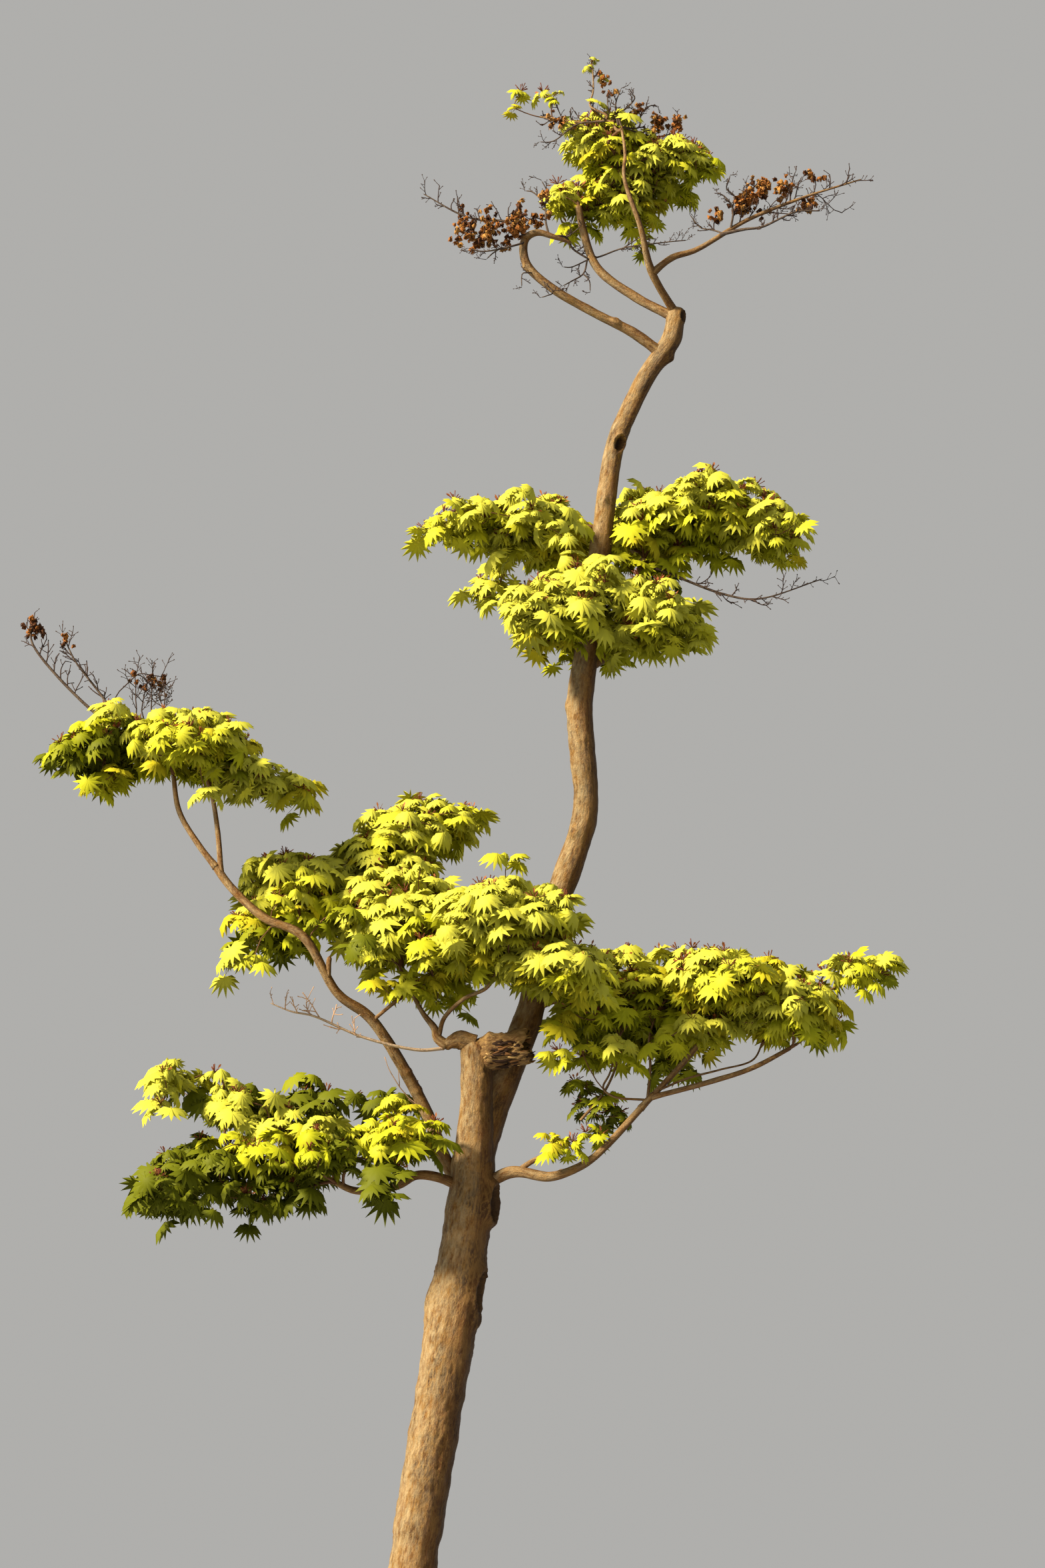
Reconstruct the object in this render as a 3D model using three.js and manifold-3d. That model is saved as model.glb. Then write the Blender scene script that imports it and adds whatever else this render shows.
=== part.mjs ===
// A golden-leaved Japanese maple, pruned into flat tiers of foliage and rooted in the ground.
// Millimetres, +Z up, +X to the right and +Y away from the viewer.
// The origin is the middle of the flat cut under the trunk, at ground level.

import * as THREE from "three";
import { mergeVertices } from "three/addons/utils/BufferGeometryUtils.js";
import Module from "manifold-3d";

const wasm = await Module();
wasm.setup();

// Driving dimensions
const GAP = 0.5; // clearance between two neighbouring solids
const ENTRY = 22; // how far a bough's tip runs into its mass of foliage
const SIDES = { trunk: 12, bough: 8, twig: 6 };
const RINGS = { trunk: 2, bough: 1, twig: 1 }; // rings for each point of a limb's path
const MASS_DETAIL = 3; // how finely the octahedron of a mass is divided
const MASS_LUMP = 0.13; // how far the bumps of a mass stand out, as a share of its size
const BELLY = 0.82; // a mass is flatter below its middle than above it
const FLARE = { spread: 0.62, height: 105, lobes: 5, lobeDepth: 0.22, turn: 0.6 };
const PATH_SAMPLES = 400; // how closely a path is searched for the place where it enters its mass
const SAME_POINT = 1e-3; // vertices nearer than this are one

const COLOURS = {
  bark: { color: 0x9a7350, roughness: 0.85, metalness: 0 },
  sawn_wood: { color: 0x8a5f38, roughness: 0.9, metalness: 0 },
  dead_twig: { color: 0x6d5a52, roughness: 0.9, metalness: 0 },
  leaf: { color: 0xb9cf1e, roughness: 0.6, metalness: 0 },
  dead_leaf: { color: 0x8a4a1c, roughness: 0.9, metalness: 0 },
};

// Limbs. path is the limb's middle line, from its foot to its tip, and radii the limb's half
// thickness, evenly spaced along that path. The foot lies inside the limb that carries it, and the
// tip inside the mass named by into.
const LIMBS = {
  trunk: {
    radii: [66, 64, 61, 57, 56, 58, 55, 50, 39, 34, 32, 31, 30, 31, 28, 23, 23, 22, 25, 21],
    path: [
      [0, 0, 0],
      [3, 0, 120],
      [14, 0, 420],
      [50, 0, 900],
      [101, 0, 1390],
      [176, 0, 1880],
      [234, 0, 2245],
      [243, 10, 2360],
      [319, 44, 2559],
      [373, 60, 2695],
      [427, 54, 2931],
      [501, 34, 3145],
      [509, 24, 3230],
      [495, 0, 3435],
      [532, -5, 3700],
      [567, 7, 4000],
      [588, 10, 4110],
      [669, 4, 4284],
      [726, 0, 4370],
      [736, 0, 4452],
    ],
  },
  front_stem: {
    radii: [40, 40, 38, 35, 27],
    path: [
      [238, -2, 2300],
      [242, -18, 2400],
      [247, -36, 2500],
      [242, -45, 2592],
      [236, -45, 2618],
    ],
  },
  sawn_stub: {
    wood: "sawn_wood",
    radii: [34, 38, 37],
    path: [
      [246, -46, 2585],
      [300, -48, 2588],
      [366, -54, 2600],
    ],
  },
  knuckle: {
    radii: [22, 20, 16, 11],
    path: [
      [240, -45, 2598],
      [207, -48, 2615],
      [186, -50, 2610],
      [168, -50, 2596],
    ],
  },
  centre_bough: {
    into: "central_middle",
    radii: [11, 9.5, 6, 5, 4.5],
    path: [
      [176, -50, 2604],
      [153, -48, 2621],
      [147, -46, 2642],
      [120, -40, 2678],
      [99, -30, 2717],
      [70, -10, 2780],
      [54, 18, 2872],
    ],
  },
  pale_dead_twig: {
    wood: "dead_twig",
    radii: [4.6, 3.2, 2.4, 1.4],
    path: [
      [174, -54, 2592],
      [110, -66, 2590],
      [-22, -95, 2617],
      [-141, -120, 2665],
      [-190, -126, 2674],
      [-241, -130, 2694],
    ],
  },
  left_bough: {
    radii: [18, 14.5, 11, 10, 8.5],
    path: [
      [215, 5, 2265],
      [161, 18, 2356],
      [131, 15, 2440],
      [-5, -45, 2666],
      [-84, -76, 2724],
      [-167, -110, 2857],
      [-260, -105, 2902],
      [-341, -90, 2978],
      [-382, -80, 3034],
    ],
  },
  far_left_bough: {
    into: "far_left",
    radii: [8.5, 7, 5],
    path: [
      [-366, -84, 3014],
      [-424, -76, 3088],
      [-478, -66, 3190],
      [-486, -64, 3290],
    ],
  },
  upright_bough: {
    into: "far_left",
    radii: [7.5, 6, 5],
    path: [
      [-366, -84, 3014],
      [-370, -80, 3069],
      [-376, -70, 3117],
      [-384, -62, 3179],
      [-403, -58, 3235],
      [-415, -56, 3290],
    ],
  },
  left_dead_twig: {
    wood: "dead_twig",
    radii: [4.4, 3.2, 1.4],
    path: [
      [-600, -40, 3352],
      [-711, -30, 3441],
      [-825, -30, 3567],
      [-840, -30, 3600],
      [-836, -30, 3636],
    ],
  },
  left_dead_fork: {
    wood: "dead_twig",
    radii: [4, 2.8, 1.3],
    path: [
      [-618, -34, 3370],
      [-660, -10, 3450],
      [-734, -10, 3548],
      [-764, -10, 3610],
    ],
  },
  right_bough: {
    radii: [18, 13, 10.5, 9, 8],
    path: [
      [262, -2, 2270],
      [327, -20, 2305],
      [419, -48, 2292],
      [473, -55, 2307],
      [525, -55, 2338],
      [668, -40, 2490],
    ],
  },
  right_upper_bough: {
    into: "right_middle",
    radii: [8, 7, 5],
    path: [
      [650, -42, 2470],
      [724, -28, 2552],
      [815, -8, 2650],
      [840, 0, 2720],
    ],
  },
  right_lower_bough: {
    into: "right_tip",
    radii: [7, 6, 4.5],
    path: [
      [658, -40, 2480],
      [786, -50, 2512],
      [872, -46, 2541],
      [960, -34, 2572],
      [1035, -10, 2640],
    ],
  },
  right_spur: {
    into: "right_sprig",
    radii: [7, 5.5, 4.5, 4],
    path: [
      [340, -26, 2306],
      [372, -34, 2326],
      [404, -40, 2342],
      [451, -44, 2368],
      [487, -46, 2402],
      [494, -44, 2439],
    ],
  },
  low_left_bough: {
    into: "lower_left",
    radii: [13, 10, 6],
    path: [
      [226, -4, 2262],
      [155, -26, 2292],
      [103, -42, 2295],
      [55, -60, 2268],
      [-40, -80, 2257],
      [-90, -88, 2278],
      [-165, -96, 2325],
    ],
  },
  right_inner_bough: {
    into: "right_inner",
    radii: [12, 9, 7],
    path: [
      [380, 56, 2706],
      [482, 36, 2737],
      [580, 30, 2700],
    ],
  },
  middle_right_bough: {
    into: "middle_right",
    radii: [13, 15, 11],
    path: [
      [508, 0, 3530],
      [558, 16, 3569],
      [593, 28, 3611],
      [624, 40, 3690],
      [664, 58, 3860],
    ],
  },
  middle_dead_twig: {
    wood: "dead_twig",
    radii: [4.2, 3, 1.4],
    path: [
      [640, 46, 3812],
      [700, 26, 3782],
      [845, 20, 3723],
      [930, 20, 3710],
      [1092, 20, 3761],
    ],
  },
  crown_left_bough: {
    radii: [14.5, 11.5, 10.3, 10, 8, 3.2],
    path: [
      [700, 0, 4330],
      [629, -15, 4379],
      [536, -28, 4424],
      [426, -41, 4487],
      [364, -42, 4550],
      [362, -42, 4612],
      [390, -40, 4630],
      [433, -34, 4621],
      [476, -20, 4610],
    ],
  },
  crown_middle_bough: {
    into: "crown_low",
    radii: [13, 11, 8],
    path: [
      [733, 2, 4424],
      [637, 13, 4480],
      [541, 19, 4560],
      [506, 20, 4660],
      [494, 6, 4720],
    ],
  },
  crown_leader: {
    radii: [12, 9.3, 6.5, 4.8, 3.9, 3.2],
    path: [
      [738, 0, 4430],
      [672, -78, 4520],
      [646, -122, 4612],
      [605, -138, 4740],
      [608, -134, 4799],
      [600, -92, 4890],
    ],
  },
  crown_right_bough: {
    radii: [10, 6, 1.7],
    path: [
      [672, -77, 4508],
      [725, -66, 4556],
      [783, -52, 4580],
      [917, -30, 4668],
      [1060, -30, 4727],
      [1200, -30, 4773],
    ],
  },
  crown_dead_bough: {
    wood: "dead_twig",
    radii: [5, 3.2, 1.4],
    path: [
      [366, -42, 4606],
      [337, -45, 4649],
      [215, -45, 4670],
      [107, -45, 4730],
    ],
  },
  crown_side_twig: {
    into: "sprig_left",
    radii: [3.6, 3, 2.2],
    path: [
      [591, -96, 4875],
      [573, -78, 4906],
      [508, -52, 4913],
      [395, -22, 4940],
    ],
  },
  top_twig: {
    radii: [3.4, 2.4, 1.5],
    path: [
      [566, -76, 4920],
      [524, -60, 4954],
      [532, -44, 5000],
      [529, -25, 5092],
    ],
  },
};

// Masses of foliage. at is the middle of the mass, half its half width, half depth and half height,
// and tilt turns it about the depth axis, in degrees, so that its left end is the higher one.
const MASSES = {
  crown_left: { at: [549, 60, 4887], half: [128, 195, 86], tilt: 12 },
  crown_right: { at: [754, 80, 4825], half: [108, 175, 85], tilt: 8 },
  crown_low: { at: [488, 20, 4732], half: [70, 110, 36] },
  crown_under: { at: [624, 110, 4732], half: [97, 130, 46] },
  sprig_left: { at: [388, -20, 4971], half: [70, 76, 39] },
  dead_top: { at: [684, 14, 4972], half: [100, 105, 54], wood: "dead_leaf", tilt: 12 },
  dead_right: { at: [926, -10, 4751], half: [112, 120, 58], wood: "dead_leaf" },
  dead_left: { at: [286, -20, 4669], half: [128, 120, 61], wood: "dead_leaf", tilt: -14 },
  middle_left_tip: { at: [200, 20, 3883], half: [122, 185, 64], tilt: -16 },
  middle_left: { at: [404, 112, 3872], half: [150, 260, 106] },
  middle_right: { at: [670, 160, 3898], half: [125, 240, 116] },
  middle_right_top: { at: [825, 60, 3928], half: [130, 255, 106], tilt: -8 },
  middle_right_tip: { at: [980, 40, 3854], half: [104, 205, 85], tilt: 18 },
  middle_front_left: { at: [440, -185, 3616], half: [155, 220, 116], tilt: -6 },
  middle_front_right: { at: [666, -165, 3598], half: [161, 215, 108], tilt: 14 },
  far_left_tip: { at: [-694, -60, 3310], half: [112, 185, 78], tilt: -14 },
  far_left: { at: [-458, -60, 3310], half: [166, 260, 98] },
  far_left_right: { at: [-238, 0, 3226], half: [136, 180, 66], tilt: 12 },
  central_top: { at: [88, 190, 3132], half: [218, 265, 96], tilt: -15 },
  central_left: { at: [-180, 180, 2984], half: [178, 275, 118] },
  central_left_low: { at: [-266, 0, 2864], half: [118, 205, 72] },
  central_middle: { at: [66, 60, 2888], half: [180, 300, 150] },
  central_front: { at: [293, -180, 2864], half: [195, 265, 130], tilt: -10 },
  central_right: { at: [458, -190, 2742], half: [160, 235, 96], tilt: 14 },
  right_inner: { at: [598, 170, 2690], half: [172, 280, 128] },
  right_middle: { at: [826, 0, 2744], half: [152, 285, 99] },
  right_tip: { at: [1008, 20, 2674], half: [142, 230, 106] },
  right_far: { at: [1170, -10, 2776], half: [106, 155, 72], tilt: -14 },
  right_sprig: { at: [494, -56, 2426], half: [98, 115, 92] },
  lower_left_tip: { at: [-424, -100, 2312], half: [112, 195, 82] },
  lower_left_upper: { at: [-271, 90, 2460], half: [201, 215, 64] },
  lower_left_back: { at: [20, 106, 2478], half: [114, 165, 64] },
  lower_left: { at: [-164, -120, 2310], half: [166, 225, 80] },
  lower_left_inner: { at: [82, -130, 2362], half: [118, 145, 70] },
};

// The value at t, from 0 to 1, along a row of evenly spaced ones.
function between(values, t) {
  const place = t * (values.length - 1);
  const index = Math.min(Math.floor(place), values.length - 2);
  return THREE.MathUtils.lerp(values[index], values[index + 1], place - index);
}

// How much wider the trunk is than its own radius, close to the ground.
function rootFlare(height, angle) {
  const lobe = 1 + FLARE.lobeDepth * Math.cos(FLARE.lobes * angle + FLARE.turn);
  return 1 + FLARE.spread * Math.exp(-height / FLARE.height) * lobe;
}

// A mass's surface, as the share of its half sizes that it reaches in a direction: three slow waves,
// each mass's own because its seed shifts them.
function massReach({ x, y, z }, seed) {
  const wave =
    Math.sin(3.1 * x + 1.7 * seed) * Math.cos(2.3 * y + seed) +
    Math.sin(4.3 * y + 2.9 * z + 2.3 * seed) * 0.6 +
    Math.cos(5.1 * x - 3.7 * z + 0.9 * seed) * 0.5;
  return 1 + (MASS_LUMP * wave) / 1.4;
}

const UP = new THREE.Vector3(0, 0, 1);
const AWAY = new THREE.Vector3(0, 1, 0);

const massTilt = (mass) => THREE.MathUtils.degToRad(mass.tilt ?? 0);

// A mass's half sizes as they act in a direction, with its flat belly.
function massHalf(mass, direction) {
  const [width, depth, height] = mass.half;
  return new THREE.Vector3(width, depth, direction.z < 0 ? height * BELLY : height);
}

function massPoint(mass, direction, grow) {
  const reach = massHalf(mass, direction).multiplyScalar(massReach(direction, mass.seed));
  const point = direction.clone().multiply(reach);
  point.setLength(point.length() + grow);
  return point.applyAxisAngle(AWAY, massTilt(mass)).add(new THREE.Vector3(...mass.at));
}

function isInside(mass, point) {
  const local = point.clone().sub(new THREE.Vector3(...mass.at)).applyAxisAngle(AWAY, -massTilt(mass));
  local.divide(massHalf(mass, local));
  return local.length() < massReach(local.clone().normalize(), mass.seed);
}

// How much of a limb's curve is used, from 0 to 1: up to a little inside its mass.
function usedShare(curve, mass, name) {
  if (!mass) return 1;
  let entry = null;
  for (let i = 0; i <= PATH_SAMPLES; i++) {
    const point = curve.getPoint(i / PATH_SAMPLES);
    if (!entry && isInside(mass, point)) entry = point;
    if (entry && point.distanceTo(entry) >= ENTRY) return i / PATH_SAMPLES;
  }
  if (!entry) throw new Error(name + " never reaches its mass of foliage");
  return 1;
}

// A closed geometry as a solid, for cutting.
function solidFrom(geometry) {
  const bare = geometry.clone();
  for (const name of ["normal", "uv"]) bare.deleteAttribute(name);
  const merged = mergeVertices(bare, SAME_POINT);
  return new wasm.Manifold(
    new wasm.Mesh({
      numProp: 3,
      vertProperties: new Float32Array(merged.attributes.position.array),
      triVerts: new Uint32Array(merged.index.array),
    }),
  );
}

function kindOf(name, limb) {
  if (name === "trunk") return "trunk";
  return limb.wood === "dead_twig" ? "twig" : "bough";
}

// A limb: a cylinder wrapped round the limb's curve, with its taper, grown all round by grow.
// Its rings stand square to the curve and evenly along the used part, about one for each point of
// the path and, on the trunk, two.
function limbSolid(name, limb, grow = 0) {
  const points = limb.path.map((point) => new THREE.Vector3(...point));
  const curve = new THREE.CatmullRomCurve3(points, false, "centripetal");
  const share = usedShare(curve, MASSES[limb.into], name);
  const kind = kindOf(name, limb);
  const rings = Math.max(2, Math.round(share * (points.length - 1) * RINGS[kind]));
  const geometry = new THREE.CylinderGeometry(1, 1, 1, SIDES[kind], rings);
  const position = geometry.attributes.position;
  for (let i = 0; i < position.count; i++) {
    const ring = Math.round((position.getY(i) + 0.5) * rings);
    const t = (share * ring) / rings;
    const centre = curve.getPoint(t);
    const along = ring === 0 && kind === "trunk" ? UP : curve.getTangent(t);
    const back = AWAY.clone().projectOnPlane(along).normalize();
    const side = along.clone().cross(back);
    const angle = Math.atan2(position.getZ(i), position.getX(i));
    const flare = kind === "trunk" ? rootFlare(centre.z, angle) : 1;
    const wide = between(limb.radii, t) * flare + grow;
    centre.addScaledVector(side, position.getX(i) * wide).addScaledVector(back, position.getZ(i) * wide);
    if (grow && ring === 0) centre.addScaledVector(along, -grow);
    if (grow && ring === rings) centre.addScaledVector(along, grow);
    position.setXYZ(i, centre.x, centre.y, centre.z);
  }
  return solidFrom(geometry);
}

function massSolid(mass, grow = 0) {
  const geometry = new THREE.OctahedronGeometry(1, MASS_DETAIL);
  const position = geometry.attributes.position;
  for (let i = 0; i < position.count; i++) {
    const direction = new THREE.Vector3().fromBufferAttribute(position, i).normalize();
    const point = massPoint(mass, direction, grow);
    position.setXYZ(i, point.x, point.y, point.z);
  }
  return solidFrom(geometry);
}

const largest = (solid) => solid.decompose().sort((a, b) => b.volume() - a.volume())[0];

function meshFrom(name, solid, wood) {
  const made = solid.getMesh();
  const geometry = new THREE.BufferGeometry()
    .setAttribute("position", new THREE.BufferAttribute(new Float32Array(made.vertProperties), 3))
    .setIndex(new THREE.BufferAttribute(new Uint32Array(made.triVerts), 1));
  geometry.computeVertexNormals();
  const mesh = new THREE.Mesh(geometry, new THREE.MeshStandardMaterial(COLOURS[wood]));
  mesh.name = name;
  return mesh;
}

const tree = new THREE.Group();
const placed = []; // each solid so far, grown by the clearance, for the later ones to be cut by

// Every solid gives way to those before it: the trunk is whole, boughs meet it, and foliage fits round both.
function place(name, solid, grown, wood) {
  const cut = placed.reduce((left, other) => left.subtract(other), solid);
  tree.add(meshFrom(name, largest(cut), wood));
  placed.push(grown);
}

Object.values(MASSES).forEach((mass, index) => {
  mass.seed = index + 1;
});

for (const [name, limb] of Object.entries(LIMBS)) {
  place(name, limbSolid(name, limb), limbSolid(name, limb, GAP), limb.wood ?? "bark");
}
for (const [name, mass] of Object.entries(MASSES)) {
  place(name, massSolid(mass), massSolid(mass, GAP), mass.wood ?? "leaf");
}

export default tree;
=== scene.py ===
# %% [markdown]
# A golden full-moon maple, kept as a cloud-pruned tree: a bare leaning trunk, bare boughs, and
# flat tiers of yellow leaves at their ends. The CAD model gives every limb as a plain tapering
# solid and every tier as a few closed lumps. This lesson turns the limbs into bark and grows
# twigs and leaves through the lumps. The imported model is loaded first, because every piece that
# follows takes its place from it.

# %% Load the frame
import math

import bpy
import numpy as np
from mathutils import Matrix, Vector, noise
from mathutils.bvhtree import BVHTree


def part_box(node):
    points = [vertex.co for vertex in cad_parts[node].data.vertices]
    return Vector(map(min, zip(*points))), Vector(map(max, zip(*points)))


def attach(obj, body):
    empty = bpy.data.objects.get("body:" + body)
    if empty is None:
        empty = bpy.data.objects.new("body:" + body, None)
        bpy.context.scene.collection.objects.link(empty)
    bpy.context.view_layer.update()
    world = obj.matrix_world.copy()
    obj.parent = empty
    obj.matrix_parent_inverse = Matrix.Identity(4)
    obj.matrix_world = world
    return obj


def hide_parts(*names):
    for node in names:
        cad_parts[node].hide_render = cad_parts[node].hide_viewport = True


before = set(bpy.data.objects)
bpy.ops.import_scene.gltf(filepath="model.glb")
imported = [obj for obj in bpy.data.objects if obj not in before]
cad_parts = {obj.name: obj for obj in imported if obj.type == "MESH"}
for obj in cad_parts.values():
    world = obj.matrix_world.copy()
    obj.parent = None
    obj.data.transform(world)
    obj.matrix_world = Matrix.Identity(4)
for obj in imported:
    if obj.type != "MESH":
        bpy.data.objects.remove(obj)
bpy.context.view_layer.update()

MM = 0.001  # tables of places are written in millimetres

# %% [markdown]
# The viewer stands 8.8 m in front of the tree with a long lens and looks up at it. The long side
# of the picture is upright, and the sensor width always belongs to the long side.

# %% Camera
LENS_MM = 85
SENSOR_MM = 36
CAMERA_PLACE = (0.355, -8.8, 1.55)
CAMERA_PITCH = math.radians(10.9)

bpy.ops.object.camera_add(location=CAMERA_PLACE, rotation=(math.radians(90) + CAMERA_PITCH, 0, 0))
camera = bpy.context.object
camera.data.lens = LENS_MM
camera.data.sensor_width = SENSOR_MM
camera.data.clip_end = 200
bpy.context.scene.camera = camera
print("camera at", CAMERA_PLACE)

# %% [markdown]
# The light is one warm, soft lamp, set as a sun: it comes from the upper left and a little from
# the front, so that the right side of each limb lies in shade. A plain pale surrounding fills the
# shade. A real sky would tint it blue, but this shows the colours of bark and leaves better.

# %% Floor and light
TO_SUN = Vector((-0.77, -0.50, 0.62))
SUN_STRENGTH = 7.4
SUN_COLOUR = (1.0, 0.89, 0.68)
SUN_SOFTNESS = math.radians(9)
SKY_COLOUR = (0.90, 0.89, 0.86)
SKY_STRENGTH = 0.48
FLOOR_RADIUS = 3.0
FLOOR_COLOUR = (0.46, 0.45, 0.42)


def plain_material(name, colour, roughness, specular=0.25):
    """A plain finish, with every value on the shader's own sockets."""
    made = bpy.data.materials.new(name)
    made.use_nodes = True
    shader = made.node_tree.nodes["Principled BSDF"]
    shader.inputs["Base Color"].default_value = (*colour, 1)
    shader.inputs["Roughness"].default_value = roughness
    shader.inputs["Specular IOR Level"].default_value = specular
    return made


bpy.ops.object.select_all(action="DESELECT")
bpy.ops.mesh.primitive_circle_add(vertices=96, radius=FLOOR_RADIUS, fill_type="NGON")
floor = bpy.context.object
floor.name = "floor"
floor.data.materials.append(plain_material("pale_floor", FLOOR_COLOUR, roughness=0.9))

bpy.ops.object.light_add(type="SUN", rotation=TO_SUN.to_track_quat("Z", "Y").to_euler())
sun = bpy.context.object.data
sun.energy = SUN_STRENGTH
sun.color = SUN_COLOUR
sun.angle = SUN_SOFTNESS

sky = bpy.data.worlds.new("pale_sky")
sky.use_nodes = True
backdrop = sky.node_tree.nodes["Background"]
backdrop.inputs["Color"].default_value = (*SKY_COLOUR, 1)
backdrop.inputs["Strength"].default_value = SKY_STRENGTH
bpy.context.scene.world = sky
bpy.context.scene.view_settings.view_transform = "Standard"
print("sun", SUN_STRENGTH, "sky", SKY_STRENGTH)

# %% [markdown]
# A limb in the CAD model is a row of rings with 12, 8 or 6 corners, set square to its middle
# line. Its rings can be read back: from the flat end at the tip, the corners one edge away are
# the next ring, and so on towards the foot, until the foot, which was cut to fit the limb that
# carries it. The middle of each ring lies on the middle line, and its corners give the radius.

# %% Which limb carries which
CARRIER = {
    "front_stem": "trunk",
    "sawn_stub": "front_stem",
    "knuckle": "front_stem",
    "centre_bough": "knuckle",
    "pale_dead_twig": "knuckle",
    "left_bough": "trunk",
    "far_left_bough": "left_bough",
    "upright_bough": "left_bough",
    "left_dead_twig": None,
    "left_dead_fork": "left_dead_twig",
    "right_bough": "trunk",
    "right_upper_bough": "right_bough",
    "right_lower_bough": "right_bough",
    "right_spur": "right_bough",
    "low_left_bough": "trunk",
    "right_inner_bough": "trunk",
    "middle_right_bough": "trunk",
    "middle_dead_twig": "middle_right_bough",
    "crown_left_bough": "trunk",
    "crown_middle_bough": "trunk",
    "crown_leader": "trunk",
    "crown_right_bough": "crown_leader",
    "crown_dead_bough": "crown_left_bough",
    "crown_side_twig": "crown_leader",
    "top_twig": "crown_side_twig",
}
DEAD_LIMBS = (
    "pale_dead_twig",
    "left_dead_twig",
    "left_dead_fork",
    "middle_dead_twig",
    "crown_dead_bough",
)
TRUNK_SIDES, BOUGH_SIDES, TWIG_SIDES = 12, 8, 6
SAME_PLACE = 1e-6  # corners closer than this, in metres, are one
EVEN = 0.05  # share by which the spokes of a flat end may differ


def sides_of(name):
    if name == "trunk":
        return TRUNK_SIDES
    return TWIG_SIDES if name in DEAD_LIMBS else BOUGH_SIDES


def merged(name):
    """A node's corners and triangles, with its loose corners merged."""
    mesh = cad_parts[name].data
    corners = np.empty(len(mesh.vertices) * 3)
    mesh.vertices.foreach_get("co", corners)
    corners = corners.reshape(-1, 3)
    mesh.calc_loop_triangles()
    triangles = np.empty(len(mesh.loop_triangles) * 3, dtype=np.int64)
    mesh.loop_triangles.foreach_get("vertices", triangles)
    keys = np.round(corners / SAME_PLACE).astype(np.int64)
    _, first, index = np.unique(keys, axis=0, return_index=True, return_inverse=True)
    return corners[first], index.ravel()[triangles].reshape(-1, 3)


def neighbours_of(corners, triangles):
    """For each corner, the corners one edge away, and the edges both ways round with lengths."""
    pairs = np.vstack([triangles[:, :2], triangles[:, 1:], triangles[:, ::2]])
    edges = np.unique(np.sort(pairs, axis=1), axis=0)
    near = [set() for _ in corners]
    for a, b in edges.tolist():
        near[a].add(b)
        near[b].add(a)
    both = np.vstack([edges, edges[:, ::-1]])
    return near, both, np.linalg.norm(corners[both[:, 0]] - corners[both[:, 1]], axis=1)


def way_from(start, both, lengths, count):
    """The shortest way along the edges from one corner to each corner."""
    way = np.full(count, np.inf)
    way[start] = 0
    while True:
        shorter = way.copy()
        np.minimum.at(shorter, both[:, 1], way[both[:, 0]] + lengths)
        if np.array_equal(shorter, way):
            return way
        way = shorter


def rings_from_tip(corners, triangles, sides, foot):
    """The limb's rings as lists of corners, from the tip to the foot, and the corners left over."""
    near, both, lengths = neighbours_of(corners, triangles)
    start = int(np.argmin(np.linalg.norm(corners - foot, axis=1)))
    way = way_from(start, both, lengths, len(corners))
    ring = {int(i) for i in np.argsort(way)[-sides:]}
    seen = set()
    for middle in ring:
        spokes = np.linalg.norm(corners[list(near[middle])] - corners[middle], axis=1)
        if len(spokes) == sides and spokes.std() < EVEN * spokes.mean():
            seen = {middle}
            ring = near[middle]
            break
    rings = []
    while len(ring) == sides:
        rings.append(sorted(ring))
        seen |= ring
        ring = set().union(*(near[i] for i in ring)) - seen
    return rings, sorted(set(range(len(corners))) - seen)


print(len(CARRIER) + 1, "limbs, of which", len(DEAD_LIMBS), "are dead")

# %% [markdown]
# A centripetal Catmull-Rom curve runs through the ring centres without overshooting, so a limb
# keeps the bends of the CAD model and loses its corners. The foot is carried on into the limb
# below, along the limb's own direction, so that no gap shows at the fork.

# %% Smooth middle lines
FOOT_SEARCH = 0.20  # how far ahead of a foot its carrier's middle line is looked for
FOOT_TRIES = 81
FINE_STEP = 0.005
TINY = 1e-12
UP = np.array([0.0, 0.0, 1.0])


def unit(vectors):
    return vectors / np.maximum(np.linalg.norm(vectors, axis=-1, keepdims=True), TINY)


def smooth_line(points, radii, spacing):
    """Evenly spaced places, and radii, on a centripetal Catmull-Rom curve through points."""
    gaps = np.linalg.norm(np.diff(points, axis=0), axis=1)
    knots = np.concatenate([[0], np.cumsum(np.sqrt(gaps))])
    ends = np.vstack([2 * points[0] - points[1], points, 2 * points[-1] - points[-2]])
    t = np.concatenate([[-knots[1]], knots, [2 * knots[-1] - knots[-2]]])
    places, widths = [], []
    for i in range(len(points) - 1):
        count = max(4, int(gaps[i] / FINE_STEP * 2))
        x = np.linspace(t[i + 1], t[i + 2], count, endpoint=False)[:, None]
        p0, p1, p2, p3 = ends[i : i + 4]
        t0, t1, t2, t3 = t[i : i + 4]
        a1 = (t1 - x) / (t1 - t0) * p0 + (x - t0) / (t1 - t0) * p1
        a2 = (t2 - x) / (t2 - t1) * p1 + (x - t1) / (t2 - t1) * p2
        a3 = (t3 - x) / (t3 - t2) * p2 + (x - t2) / (t3 - t2) * p3
        b1 = (t2 - x) / (t2 - t0) * a1 + (x - t0) / (t2 - t0) * a2
        b2 = (t3 - x) / (t3 - t1) * a2 + (x - t1) / (t3 - t1) * a3
        places.append((t2 - x) / (t2 - t1) * b1 + (x - t1) / (t2 - t1) * b2)
        share = (x[:, 0] - t1) / (t2 - t1)
        widths.append(radii[i] + (radii[i + 1] - radii[i]) * share)
    places = np.vstack([*places, points[-1:]])
    widths = np.concatenate([*widths, radii[-1:]])
    run = np.concatenate([[0], np.cumsum(np.linalg.norm(np.diff(places, axis=0), axis=1))])
    even = np.linspace(0, run[-1], max(3, int(round(run[-1] / spacing)) + 1))
    line = np.stack([np.interp(even, run, places[:, k]) for k in range(3)], axis=1)
    return {"line": line, "radii": np.interp(even, run, widths), "run": even}


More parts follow.
